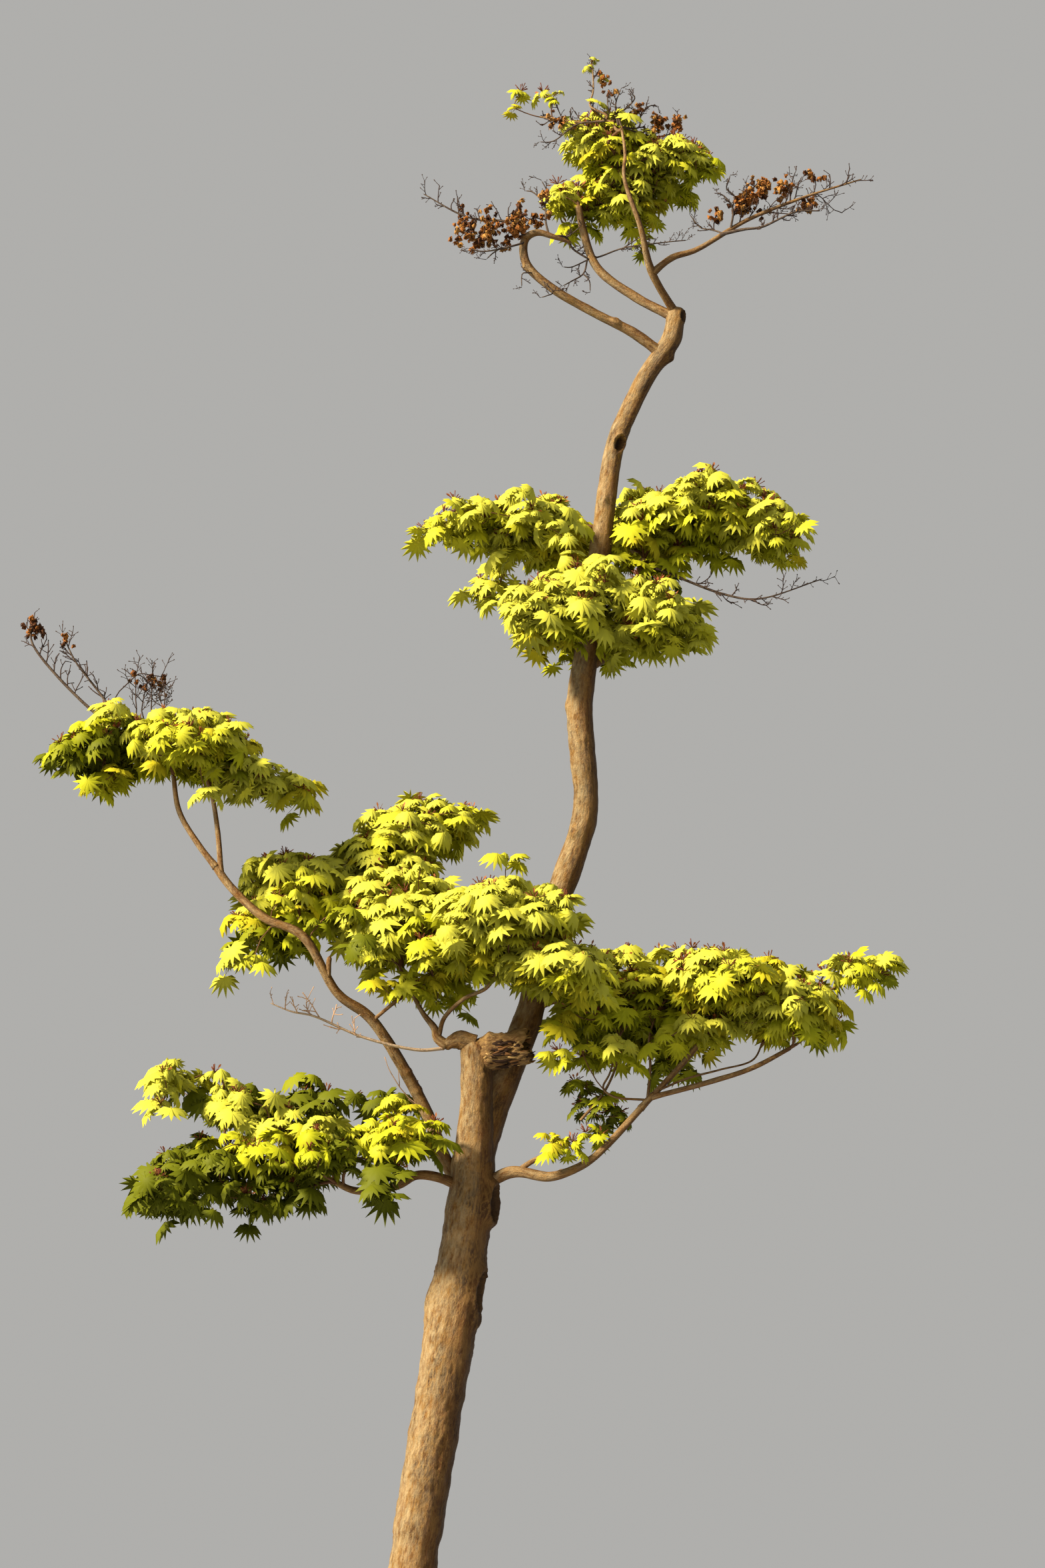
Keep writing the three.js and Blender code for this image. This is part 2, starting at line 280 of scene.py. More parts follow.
def foot_inside(carrier_line, last, rest):
    """The place on the carrier's middle line that the limb's own direction leads to."""
    ahead = rest + np.linspace(0, FOOT_SEARCH, FOOT_TRIES)[:, None] * unit(rest - last)
    gaps = np.linalg.norm(carrier_line[None] - ahead[:, None], axis=2)
    return carrier_line[np.unravel_index(np.argmin(gaps), gaps.shape)[1]]


limbs = {}
for name in ["trunk", *CARRIER]:
    corners, triangles = merged(name)
    carrier = limbs.get(CARRIER.get(name))
    if carrier is None:
        low_end = corners[np.argmin(corners[:, 2])]
    else:
        gaps = np.linalg.norm(corners[:, None] - carrier["line"][None], axis=2)
        low_end = corners[np.argmin((gaps - carrier["radii"][None]).min(axis=1))]
    rings, left_over = rings_from_tip(corners, triangles, sides_of(name), low_end)
    centres = np.array([corners[ring].mean(axis=0) for ring in rings])
    radii = np.array([np.linalg.norm(corners[r] - c, axis=1).mean() for r, c in zip(rings, centres)])
    if carrier is not None:
        rest = corners[left_over].mean(axis=0) if left_over else centres[-1]
        inside = foot_inside(carrier["line"], centres[-1], rest)
        centres = np.vstack([centres, inside])
        radii = np.append(radii, radii[-1])
    limbs[name] = smooth_line(centres[::-1], radii[::-1], FINE_STEP)
    thick = [round(w * 2e3) for w in (limbs[name]["radii"][0], limbs[name]["radii"][-1])]
    print(f"{name}: {len(rings)} rings, {limbs[name]['run'][-1]:.2f} m long, {thick} mm thick")

# %% [markdown]
# The smallest limbs are too thin for the CAD model: forks under the tiers, a pruning stub, and
# the dead forks of the crown. They could be left to the random rule of the twigs, but these stand
# bare against the sky and are well seen, so each one's middle line is given, in millimetres
# from its foot, inside the limb that carries it, to its tip.

# %% Small limbs
# name: radius at the foot, radius at the tip, places
SMALL_LIVE = {
    "knuckle_fork": (5.5, 4, [
        (156, -49, 2622), (168, -62, 2665), (216, -90, 2709), (273, -120, 2734), (310, -150, 2800),
    ]),
    "left_fork": (4.5, 3, [
        (-4, -48, 2660), (48, -60, 2702), (83, -45, 2728), (126, -30, 2762), (150, 0, 2830),
    ]),
    "left_pruned": (6.5, 5.5, [(-106, -92, 2760), (-104, -98, 2800), (-101, -100, 2812)]),
    "right_upright": (3.6, 2.4, [
        (652, -42, 2480), (659, -30, 2554), (657, -10, 2621), (676, 20, 2689),
    ]),
    "right_cross": (3, 2, [
        (646, -42, 2474), (571, -50, 2481), (546, -50, 2501), (562, -40, 2537), (590, 10, 2640),
    ]),
    "right_low": (3, 2, [
        (680, -40, 2498), (744, -36, 2525), (824, -30, 2547), (904, -20, 2572), (930, 0, 2620),
    ]),
    "spur_tip": (3.6, 2.4, [(492, -44, 2425), (547, -30, 2491), (579, -10, 2562), (590, 30, 2640)]),
    "top_sprig": (1.6, 1.2, [(531, -32, 5062), (526, -25, 5078), (534, -20, 5094)]),
}
SMALL_DEAD = {
    "right_lower_fork": (4.5, 1.4, [
        (845, -48, 4622), (903, -58, 4632), (946, -60, 4637), (1035, -55, 4679), (1096, -50, 4683),
    ]),
    "right_upright_fork": (3, 1.3, [
        (872, -38, 4640), (877, -50, 4689), (856, -55, 4719), (838, -50, 4731),
    ]),
    "right_upright_tip": (2, 1.2, [
        (876, -48, 4690), (881, -40, 4727), (863, -35, 4745), (873, -30, 4784),
    ]),
    "right_back_fork": (2.4, 1.2, [
        (858, -42, 4625), (829, -10, 4647), (799, 10, 4661), (773, 20, 4699),
    ]),
    "left_low_fork": (3, 1.3, [
        (364, -42, 4606), (347, -60, 4593), (295, -70, 4576), (254, -75, 4569), (219, -80, 4576),
    ]),
    "left_low_side": (1.8, 1.2, [(298, -70, 4577), (280, -66, 4566), (265, -60, 4553)]),
    "left_upright_fork": (3, 1.3, [
        (420, -38, 4626), (413, -30, 4660), (410, -20, 4707), (380, -15, 4745), (361, -12, 4749),
    ]),
    "left_upright_tip": (1.8, 1.2, [(410, -20, 4707), (416, -30, 4739), (402, -36, 4768)]),
    "left_link": (3.2, 2.4, [(427, -36, 4622), (463, -14, 4627), (479, 2, 4604), (519, 14, 4580)]),
    "left_link_up": (1.8, 1.2, [(463, -14, 4627), (476, -10, 4636), (501, -6, 4659)]),
    "hanging_a": (2.4, 1.3, [(517, 16, 4580), (506, 2, 4537), (478, -6, 4516), (454, -10, 4501)]),
    "hanging_b": (1.8, 1.2, [(506, 2, 4537), (521, -6, 4517), (523, -12, 4485)]),
    "hanging_c": (1.8, 1.2, [(517, 16, 4578), (474, 20, 4560), (455, 24, 4563)]),
    "drooping_a": (2, 1.2, [(384, -44, 4524), (366, -60, 4519), (355, -64, 4516), (353, -66, 4479)]),
    "drooping_b": (1.8, 1.2, [(398, -46, 4510), (430, -70, 4463), (418, -74, 4456), (399, -76, 4449)]),
    "cross_twig": (2.4, 1.3, [
        (516, 20, 4580), (548, 34, 4593), (607, 36, 4616), (702, 30, 4628), (767, 24, 4633),
    ]),
    "cross_up": (1.8, 1.2, [(606, 36, 4615), (628, 40, 4632), (647, 44, 4646)]),
    "top_fork_a": (2.4, 1.2, [(594, -92, 4880), (582, -70, 4907), (569, -66, 4944), (566, -60, 4978)]),
    "top_fork_b": (2.6, 1.2, [
        (600, -92, 4886), (596, -60, 4931), (624, -50, 4961), (636, -46, 4982), (628, -40, 4995),
    ]),
    "top_fork_c": (2.4, 1.2, [
        (600, -92, 4886), (647, -20, 4915), (653, -14, 4953), (676, -10, 4974), (695, 0, 4977),
    ]),
    "top_fork_d": (2.2, 1.2, [(592, -88, 4890), (588, -40, 4968), (602, -30, 5012)]),
    "top_fork_e": (2.2, 1.2, [(600, -92, 4886), (690, 10, 4900), (735, 20, 4916), (752, 20, 4950)]),
    "low_side_twig": (2.2, 1.2, [
        (560, -74, 4908), (493, -66, 4904), (430, -70, 4857), (396, -74, 4854),
    ]),
}

for name, (foot, tip, places) in {**SMALL_LIVE, **SMALL_DEAD}.items():
    widths = np.linspace(foot, tip, len(places)) * MM
    limbs[name] = smooth_line(np.array(places) * MM, widths, FINE_STEP)
print(len(SMALL_LIVE), "small live limbs and", len(SMALL_DEAD), "small dead ones")

# %% [markdown]
# The bark. On the real tree it is thin and fairly smooth, with long low flutes and fine upright
# wrinkles. Round forks and old wounds it turns corky and rough. Every height below is a share of
# the limb's radius, so a thin bough gets a finer bark than the trunk.

# %% Relief of the bark
# shift moves a pattern's noise, so that no two patterns follow each other
FLUTES = {"across": 17, "along": 2.4, "shift": 0, "height": 0.062}
WRINKLES = {"across": 62, "along": 11, "shift": 31, "height": 0.024, "crease": 2.4}
GRAIN = {"across": 190, "along": 60, "shift": 57, "height": 0.016}
CORK = {"across": 110, "along": 70, "shift": 83, "height": 0.040}
ROUGH_PATCH = {"across": 11, "along": 6, "shift": 11, "from": 0.05, "to": 0.45}
LUMPS = {"along": 15, "height": 0.075}
ROUGHNESS, FINENESS = 0.9, 2.1  # how fast the octaves of the noise get weaker and finer
COLLAR = {"height": 0.32, "length": 2.2}  # swelling where a limb leaves its carrier, in radii


def noise_field(places, octaves):
    return np.array([noise.fractal(Vector(p), ROUGHNESS, FINENESS, octaves) for p in places])


def relief_noise(place, spec, shift, octaves=2):
    """Noise on bark coordinates that are stretched as the pattern asks."""
    stretch = np.array([spec["across"], spec["across"], spec["along"]])
    return noise_field(place * stretch + (shift + spec["shift"]), octaves)


def ramp(values, low, high):
    """0 under low, 1 over high, and smooth between them."""
    share = np.clip((values - low) / (high - low), 0, 1)
    return share * share * (3 - 2 * share)


def bark_relief(place, shift, near_wound):
    """Height of the bark as a share of the radius, and how corky each point is."""
    patches = relief_noise(place, ROUGH_PATCH, shift)
    rough = np.maximum(ramp(patches, ROUGH_PATCH["from"], ROUGH_PATCH["to"]), near_wound)
    height = relief_noise(place, FLUTES, shift) * FLUTES["height"]
    height += noise_field(place * (0, 0, LUMPS["along"]) + shift, 2) * LUMPS["height"]
    wrinkles = 1 - WRINKLES["crease"] * np.abs(relief_noise(place, WRINKLES, shift, 3))
    height += wrinkles * WRINKLES["height"]
    height += relief_noise(place, GRAIN, shift) * GRAIN["height"]
    height += rough * relief_noise(place, CORK, shift) * CORK["height"]
    return height, rough


print("cork stands", CORK["height"], "of a radius high")

# %% [markdown]
# Wounds and knots. Where a bough was cut off long ago the bark has rolled over the cut: a raised
# lip round a sunken oval of bare wood. Other knots closed completely and are only swellings. They
# could be sculpted one by one, but a table of places with three kinds of profile does the same.

# %% Wounds and knots
# Each row holds the kind, the place, the side, half the width and half the height, the rise and the
# sinking. The place is the height above ground on the trunk, or the length along a bough. The side
# is in degrees from the right as the viewer sees it: -90 faces the viewer and 180 the left. The
# lengths are in metres.
WOUNDS = {
    "trunk": [
        ("burl", 1.990, 178, 0.038, 0.060, 0.014, 0),
        ("scar", 2.035, -18, 0.024, 0.052, 0.007, 0.026),
        ("burl", 1.960, -20, 0.016, 0.020, 0.010, 0),
        ("burl", 1.870, -125, 0.020, 0.010, 0.003, 0),
        ("scar", 2.235, -24, 0.022, 0.041, 0.014, 0.014),
        ("burl", 2.180, -110, 0.026, 0.040, 0.004, 0),
        ("knot", 3.128, -118, 0.015, 0.017, 0.012, 0.006),
        ("burl", 3.438, 176, 0.020, 0.018, 0.006, 0),
        ("knot", 3.948, -108, 0.011, 0.013, 0.009, 0.006),
        ("scar", 4.098, -62, 0.013, 0.021, 0.007, 0.018),
        ("burl", 4.330, -8, 0.011, 0.013, 0.010, 0),
        ("scar", 4.425, -30, 0.012, 0.016, 0.004, 0.006),
    ],
    "right_bough": [
        ("burl", 0.115, 90, 0.008, 0.010, 0.008, 0),
        ("burl", 0.205, 70, 0.007, 0.008, 0.007, 0),
        ("burl", 0.235, 110, 0.007, 0.008, 0.006, 0),
    ],
    "left_bough": [
        ("burl", 0.30, -70, 0.024, 0.007, 0.003, 0),
        ("burl", 0.35, -80, 0.022, 0.006, 0.003, 0),
    ],
    "crown_left_bough": [
        ("burl", 0.07, 60, 0.007, 0.008, 0.006, 0),
        ("knot", 0.14, -60, 0.010, 0.011, 0.010, 0.007),
        ("burl", 0.40, -150, 0.007, 0.008, 0.005, 0),
    ],
}
# where the profiles of a wound begin and end, in half sizes from its middle: negative where a ramp
# falls away from the middle
ROUGH_FROM, ROUGH_TO = -2.3, -1.0
LIP_AT, LIP_WIDTH = 1.05, 0.30
HOLLOW_EDGE, HOLLOW_FLOOR = -1.0, -0.72
BURL_FALL = 1.3
KNOT_MIDDLE = 0.35


def wound_relief(wounds, angle, run, radius):
    """Height in metres that the wounds add, how bare the wood is, and how near a wound is."""
    height, bare, near = np.zeros((3, len(run)))
    for kind, at, facing, wide, tall, rise, sink in wounds:
        turn = (angle - math.radians(facing) + math.pi) % (2 * math.pi) - math.pi
        off = np.hypot(turn * radius / wide, (run - at) / tall)
        near = np.maximum(near, ramp(-off, ROUGH_FROM, ROUGH_TO))
        if kind == "scar":
            inside = ramp(-off, HOLLOW_EDGE, HOLLOW_FLOOR)
            height += rise * np.exp(-(((off - LIP_AT) / LIP_WIDTH) ** 2))
            height -= sink * inside
            bare = np.maximum(bare, inside)
            continue
        height += rise * np.exp(-BURL_FALL * off**2)
        if kind == "knot":
            height -= sink * np.exp(-((off / KNOT_MIDDLE) ** 2))
    return height, bare, near


print(sum(len(w) for w in WOUNDS.values()), "wounds and knots")

# %% [markdown]
# A sheet of bark is a grid, as added from the menu, wrapped round the limb: its columns run round
# the limb and its rows along it. The rows turn with the middle line without twisting. The first
# and the last row shrink to a point, and merging the doubles then closes both ends and the seam.
# The grid carries attributes for the bark's finish: its place on the unrolled bark, how corky and
# how bare it is, the limb's thickness there, and how far it faces the sunny side, by which the
# finish paints light and shade on the bark.

# %% Wrap a grid round a limb
RIGHT = np.array([1.0, 0.0, 0.0])
MERGE = 1e-5
TIP_ROUND = 0.8  # length of the rounded tip, in radii
SUN_SIDE = unit(np.array([TO_SUN.x, TO_SUN.y, 0.0]))
LEAST_CORK = 0.50  # the smooth bark too is a little flecked
STRAIGHT = 1e-9  # a bend smaller than this turns nothing
NECK = {"thin": 0.72, "more": 0.28, "from": 0.004, "to": 0.034}  # the stub is thinner at its foot
SPLINTER_NOISE = 3  # how fine the splinters are round a broken tip
SPLINTERED_FROM, SPLINTERED = 0.6, 0.4  # where splinters begin, and the rest of the length
END_BEHIND = 0.8  # how far the closed end lies behind the splinters, as a share of their length


def turned(angle, first, second):
    """Directions that lie at an angle from the first ones towards the second ones."""
    return np.cos(angle)[..., None] * first + np.sin(angle)[..., None] * second


def stub_neck(run):
    return NECK["thin"] + NECK["more"] * ramp(run, NECK["from"], NECK["to"])


def turning_frames(line):
    """Unit vectors to the right and to the back of a line at each of its places, without twist."""
    along = unit(np.gradient(line, axis=0))
    right = unit(RIGHT - (RIGHT @ along[0]) * along[0])
    rights = [right]
    for before, now in zip(along[:-1], along[1:]):
        axis = np.cross(before, now)
        sine, cosine = np.linalg.norm(axis), float(before @ now)
        if sine > STRAIGHT:
            axis = axis / sine
            right = right * cosine + np.cross(axis, right) * sine + axis * (axis @ right) * (1 - cosine)
        right = unit(right - (right @ now) * now)
        rights.append(right)
    rights = np.array(rights)
    return along, rights, np.cross(along, rights)


def add_attribute(mesh, name, kind, values):
    field = "vector" if kind == "FLOAT_VECTOR" else "value"
    made = mesh.attributes.new(name, kind, "POINT")
    made.data.foreach_set(field, np.ascontiguousarray(values, dtype=np.float32).ravel())


def finish_sheet(sheet):
    """Closes the seam and the ends of a wrapped grid and points its faces outwards."""
    bpy.ops.object.mode_set(mode="EDIT")
    bpy.ops.mesh.select_all(action="SELECT")
    bpy.ops.mesh.remove_doubles(threshold=MERGE)
    bpy.ops.mesh.normals_make_consistent(inside=False)
    bpy.ops.object.mode_set(mode="OBJECT")
    bpy.ops.object.shade_smooth()
    sheet.select_set(False)


def wrap_limb(name, around, spacing, strength=1.0, shift=0.0, ragged=0.0):
    """The bark of a limb as one closed mesh. ragged is how far a broken tip's splinters differ."""
    limb = limbs[name]
    count = max(6, int(limb["run"][-1] / spacing))
    run = np.linspace(0, limb["run"][-1], count)
    line = np.stack([np.interp(run, limb["run"], limb["line"][:, k]) for k in range(3)], axis=1)
    radius = np.interp(run, limb["run"], limb["radii"])
    along, rights, backs = turning_frames(line)
    if name == "trunk":
        along[0], rights[0], backs[0] = np.eye(3)[[2, 0, 1]]
    elif name == "sawn_stub":
        radius = radius * stub_neck(run)
    elif CARRIER.get(name):
        radius = radius * (1 + COLLAR["height"] * np.exp(-run / (COLLAR["length"] * radius)))
    tip = np.clip((run - run[-1]) / (radius[-1] * TIP_ROUND) + 1, 0, 1)
    rounding = np.sqrt(np.maximum(1 - tip**2, 0)) if not ragged else np.ones(count)

    bpy.ops.object.select_all(action="DESELECT")
    bpy.ops.mesh.primitive_grid_add(x_subdivisions=around, y_subdivisions=count + 1, size=1)
    sheet = bpy.context.object
    sheet.name = name + "_bark"
    flat = np.empty(len(sheet.data.vertices) * 3)
    sheet.data.vertices.foreach_get("co", flat)
    flat = flat.reshape(-1, 3)
    column = np.rint((flat[:, 0] + 0.5) * around).astype(int)
    row = np.rint((flat[:, 1] + 0.5) * (count + 1)).astype(int)
    ends = (row == 0) | (row == count + 1)
    row = np.clip(row - 1, 0, count - 1)
    angle = column % around * (2 * math.pi / around)

    wide = radius[row]
    place = np.stack([wide * np.cos(angle), wide * np.sin(angle), run[row]], axis=1)
    where = line[row][:, 2] if name == "trunk" else run[row]
    lift, bare, near = wound_relief(WOUNDS.get(name, []), angle, where, wide)
    height, rough = bark_relief(place, shift, near)
    reach = (wide * (1 + height * strength) + lift) * rounding[row]
    reach[ends] = 0
    out = turned(angle, rights[row], backs[row])
    points = line[row] + out * reach[:, None]
    if ragged:
        around_tip = np.stack([np.cos(angle), np.sin(angle), wide * 0], axis=1) * SPLINTER_NOISE
        late = np.clip((run[row] / run[-1] - SPLINTERED_FROM) / SPLINTERED, 0, 1)
        splinters = noise_field(around_tip + np.array([0, 0, shift]), 3)
        points += along[row] * (ragged * late * splinters * (reach > 0))[:, None]
        points -= along[row] * (ragged * END_BEHIND * (ends & (row > 0)))[:, None]
    if name == "trunk":
        points[row == 0, 2] = 0
    sheet.data.vertices.foreach_set("co", points.ravel())
    add_attribute(sheet.data, "bark_place", "FLOAT_VECTOR", place)
    add_attribute(sheet.data, "corky", "FLOAT", np.maximum(rough, LEAST_CORK))
    add_attribute(sheet.data, "bare_wood", "FLOAT", bare)
    add_attribute(sheet.data, "girth", "FLOAT", wide)
    # how far each point faces the sun: by it the finish paints the sunny side paler and the far side
    # darker
    add_attribute(sheet.data, "sunward", "FLOAT", out @ SUN_SIDE)
    finish_sheet(sheet)
    return sheet


def settle(piece, slot, finishes, *nodes):
    """Gives a finished piece its finishes and puts it on the tree, in place of its CAD nodes."""
    for finish in finishes:
        piece.data.materials.append(finish)
    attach(piece, "root")
    if nodes:
        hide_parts(*nodes)


print("a limb is wrapped in one grid")

# %% [markdown]
# The finish of the bark: brown, mottled with greyer and with paler patches a few centimetres
# wide, and drawn out into fine pale streaks along the limb. The corky places are flecked with
# golden crests and dark cracks, and the thin young wood is redder. Light and shade are painted
# over this too: the side that faces the sun is painted paler in patches, as painted sunlight,
# and the side away from the sun is painted darker, as painted shade. The colours are mixed from
# noise on the unrolled bark, so they run along each limb, and a fine bump adds the cork.

# %% Finish of the bark
BARK = {
    "brown": (0.175, 0.066, 0.012),
    "pale": (0.345, 0.180, 0.046),
    "grey": (0.088, 0.039, 0.014),
    "crack": (0.040, 0.015, 0.004),
    "young": (0.185, 0.078, 0.024),
    "bare": (0.075, 0.037, 0.015),
    # painted light: the last two colours are painted sunlight on the side that faces the sun and painted
    # shade on the side away from it
    "painted_sunlight": (0.620, 0.475, 0.265),
    "painted_shade": (0.028, 0.012, 0.003),
}
# patterns: how fine they are round and along the limb, detail and roughness of the noise, and the
# values of the noise from which they show, at which they show most, and how much that is
PATTERNS = {
    "grey patches": (26, 12, 3.0, 0.55, 0.44, 0.60, 1.0),
    "pale patches": (34, 18, 4.0, 0.55, 0.46, 0.66, 0.75),
    "streaks": (230, 17, 5.0, 0.62, 0.50, 0.66, 0.85),
    "threads": (420, 40, 4.0, 0.55, 0.56, 0.66, 0.60),
    # the patches in which sunlight is painted on the sunny side
    "painted_sun_patches": (85, 32, 6.0, 0.66, 0.36, 0.66, 0.72),
}
WRINKLE_NOISE = (210, 95, 6.0, 0.66)
CRESTS = (0.50, 0.58)  # values of the wrinkles' noise over which a golden crest shows
CRACKS = (0.42, 0.34, 0.8)  # values under which a dark crack shows, and how dark it is
YOUNG = (0.009, 0.004)  # radii, in metres, between which the bark turns from old to young
PAINTED_SUN_FACING = (0.10, 0.95)  # how far a place faces the sunny side, where sunlight is painted paler
PAINTED_SHADE_FACING = (0.35, -0.60, 0.78)  # how far it faces away, and how much painted shade there is at most
BARK_ROUGHNESS, BARK_GLOSS = 0.58, 0.22
BUMP_DEPTH = 0.006


def read_attribute(tree, name, output="Fac"):
    made = tree.nodes.new("ShaderNodeAttribute")
    made.attribute_name = name
    return made.outputs[output]


def pattern(tree, vector, across, along, detail, roughness):
    """Noise on a vector that is stretched across and along the limb."""
    mapping = tree.nodes.new("ShaderNodeMapping")
    mapping.inputs["Scale"].default_value = (across, across, along)
    tree.links.new(vector, mapping.inputs["Vector"])
    made = tree.nodes.new("ShaderNodeTexNoise")
    made.inputs["Scale"].default_value = 1.0
    made.inputs["Detail"].default_value = detail
    made.inputs["Roughness"].default_value = roughness
    tree.links.new(mapping.outputs["Vector"], made.inputs["Vector"])
    return made.outputs["Fac"]


def between(tree, value, low, high, most=1.0):
    """0 where value is under low, most over high."""
    made = tree.nodes.new("ShaderNodeMapRange")
    made.inputs["From Min"].default_value = low
    made.inputs["From Max"].default_value = high
    made.inputs["To Max"].default_value = most
    tree.links.new(value, made.inputs["Value"])
    return made.outputs["Result"]


def product(tree, first, second):
    made = tree.nodes.new("ShaderNodeMath")
    made.operation = "MULTIPLY"
    tree.links.new(first, made.inputs[0])
    tree.links.new(second, made.inputs[1])
    return made.outputs[0]


def mixed(tree, share, first, second):
    """Two colours mixed; each is a socket or three numbers."""
    made = tree.nodes.new("ShaderNodeMix")
    made.data_type = "RGBA"
    tree.links.new(share, made.inputs[0])
    for socket, colour in ((made.inputs[6], first), (made.inputs[7], second)):
        if isinstance(colour, tuple):
            socket.default_value = (*colour, 1)
        else:
            tree.links.new(colour, socket)
    return made.outputs[2]


def bark_material(name, colours, bump=1.0):
    made = bpy.data.materials.new(name)
    made.use_nodes = True
    tree = made.node_tree
    shader = tree.nodes["Principled BSDF"]
    place = read_attribute(tree, "bark_place", "Vector")
    corky = read_attribute(tree, "corky")
    sunward = read_attribute(tree, "sunward")
    shows = {}
    for what, (*noise_values, low, high, most) in PATTERNS.items():
        shows[what] = between(tree, pattern(tree, place, *noise_values), low, high, most)
    wrinkles = pattern(tree, place, *WRINKLE_NOISE)
    layers = [
        (shows["grey patches"], "grey"),
        (shows["pale patches"], "pale"),
        (shows["streaks"], "pale"),
        (between(tree, read_attribute(tree, "girth"), *YOUNG), "young"),
        (product(tree, between(tree, wrinkles, *CRESTS), corky), "pale"),
        (shows["threads"], "pale"),
        (product(tree, between(tree, wrinkles, *CRACKS), corky), "crack"),
        (read_attribute(tree, "bare_wood"), "bare"),
        # painted sunlight on the side that faces the sun, in patches, and painted shade on the side away
        # from it
        (product(tree, shows["painted_sun_patches"], between(tree, sunward, *PAINTED_SUN_FACING)), "painted_sunlight"),
        (between(tree, sunward, *PAINTED_SHADE_FACING), "painted_shade"),
    ]
    colour = colours["brown"]
    for share, layer in layers:
        colour = mixed(tree, share, colour, colours[layer])
    tree.links.new(colour, shader.inputs["Base Color"])
    shader.inputs["Roughness"].default_value = BARK_ROUGHNESS
    shader.inputs["Specular IOR Level"].default_value = BARK_GLOSS
    cork = tree.nodes.new("ShaderNodeBump")
    cork.inputs["Strength"].default_value = bump
    cork.inputs["Distance"].default_value = BUMP_DEPTH
    tree.links.new(wrinkles, cork.inputs["Height"])
    tree.links.new(cork.outputs["Normal"], shader.inputs["Normal"])
    return made


bark_finish = bark_material("maple_bark", BARK)
print("bark finish has", len(bark_finish.node_tree.nodes), "nodes")

# %% [markdown]
# Trunk and boughs. Each live limb is wrapped in its own sheet, with more columns on the thick
# ones, so that a wrinkle is a few millimetres wide everywhere. Each sheet is a piece of its own,
# because it takes the place of its own CAD limb.

# %% Trunk and boughs
LIVE_LIMBS = [name for name in ["trunk", *CARRIER] if name not in (*DEAD_LIMBS, "sawn_stub")]
AROUND = {"trunk": 80, "front_stem": 60, "knuckle": 40}
SPACING = {"trunk": 0.0062, "front_stem": 0.0050, "knuckle": 0.0030}
STRENGTH = {"knuckle": 2.6, "front_stem": 1.25}  # relief of the bark, 1 on the other limbs
BOUGH_AROUND, BOUGH_SPACING = 24, 0.0045
SMALL_AROUND, SMALL_SPACING = 10, 0.006
NEXT_BARK = 5.3  # the noise is moved on by this for each limb, so that no two are alike
SMALL_BARK = 140  # where the noise of the small limbs begins

for number, name in enumerate(LIVE_LIMBS):
    size = (AROUND.get(name, BOUGH_AROUND), SPACING.get(name, BOUGH_SPACING))
    bark = wrap_limb(name, *size, STRENGTH.get(name, 1.0), NEXT_BARK * number)
    settle(bark, "bark", [bark_finish], name)
for number, name in enumerate(SMALL_LIVE):
    shift = SMALL_BARK + NEXT_BARK * number
    bark = wrap_limb(name, SMALL_AROUND, SMALL_SPACING, 1.0, shift)
    settle(bark, "bark", [bark_finish])
print("bark of", len(LIVE_LIMBS) + len(SMALL_LIVE), "limbs")

# %% [markdown]
# The second stem was sawn off, and the stub that it leaves is thick and splintered: long shreds
# of torn wood with dark gaps between them. It is wrapped like the limbs, with far deeper ridges
# and with a tip whose splinters end at different lengths.

# %% Sawn stub
STUB_WOOD = {
    "brown": (0.170, 0.074, 0.022),
    "pale": (0.420, 0.255, 0.090),
    "grey": (0.085, 0.040, 0.018),
    "crack": (0.020, 0.009, 0.004),
    "young": (0.150, 0.070, 0.026),
    "bare": (0.055, 0.030, 0.015),
    # painted light: the last two colours are painted sunlight on the side that faces the sun and painted
    # shade on the side away from it
    "painted_sunlight": (0.420, 0.250, 0.090),
    "painted_shade": (0.030, 0.013, 0.004),
}
SPLINTERS = 0.022  # how far the splinters differ in length
STUB_AROUND, STUB_SPACING = 72, 0.0025
STUB_STRENGTH, STUB_SHIFT, STUB_BUMP = 3.8, 91.0, 0.95  # relief, place of its noise, and cork

stub = wrap_limb("sawn_stub", STUB_AROUND, STUB_SPACING, STUB_STRENGTH, STUB_SHIFT, SPLINTERS)
stub_finish = bark_material("splintered_wood", STUB_WOOD, STUB_BUMP)
settle(stub, "sawn_wood", [stub_finish], "sawn_stub")
print("stub", round(limbs["sawn_stub"]["run"][-1], 3), "m long")

# %% [markdown]
# Dead limbs have lost their bark's colour. Most are a dull grey brown. One thin twig, on the
# knuckle of the second stem, has faded to a pale cream, and so have its shoots.

# %% Dead limbs
DEAD_WOOD = {
    "brown": (0.100, 0.062, 0.042),
    "pale": (0.220, 0.160, 0.110),
    "grey": (0.066, 0.045, 0.038),
    "crack": (0.026, 0.017, 0.013),
    "young": (0.066, 0.040, 0.031),
    "bare": (0.040, 0.026, 0.016),
    # painted light: the last two colours are painted sunlight on the side that faces the sun and painted
    # shade on the side away from it
    "painted_sunlight": (0.290, 0.205, 0.135),
    "painted_shade": (0.028, 0.018, 0.014),
}
PALE_WOOD = {
    "brown": (0.360, 0.235, 0.145),
    "pale": (0.520, 0.390, 0.260),
    "grey": (0.240, 0.155, 0.100),
    "crack": (0.080, 0.045, 0.025),
    "young": (0.600, 0.420, 0.270),
    "bare": (0.230, 0.150, 0.090),
    # painted light: the last two colours are painted sunlight on the side that faces the sun and painted
    # shade on the side away from it
    "painted_sunlight": (0.680, 0.520, 0.350),
    "painted_shade": (0.230, 0.150, 0.095),
}
DEAD_STRENGTH = 1.2
DEAD_BARK, NEXT_DEAD_BARK = 200.0, 7  # where the noise of the dead limbs begins, and its steps
dead_finish = bark_material("dead_wood", DEAD_WOOD)
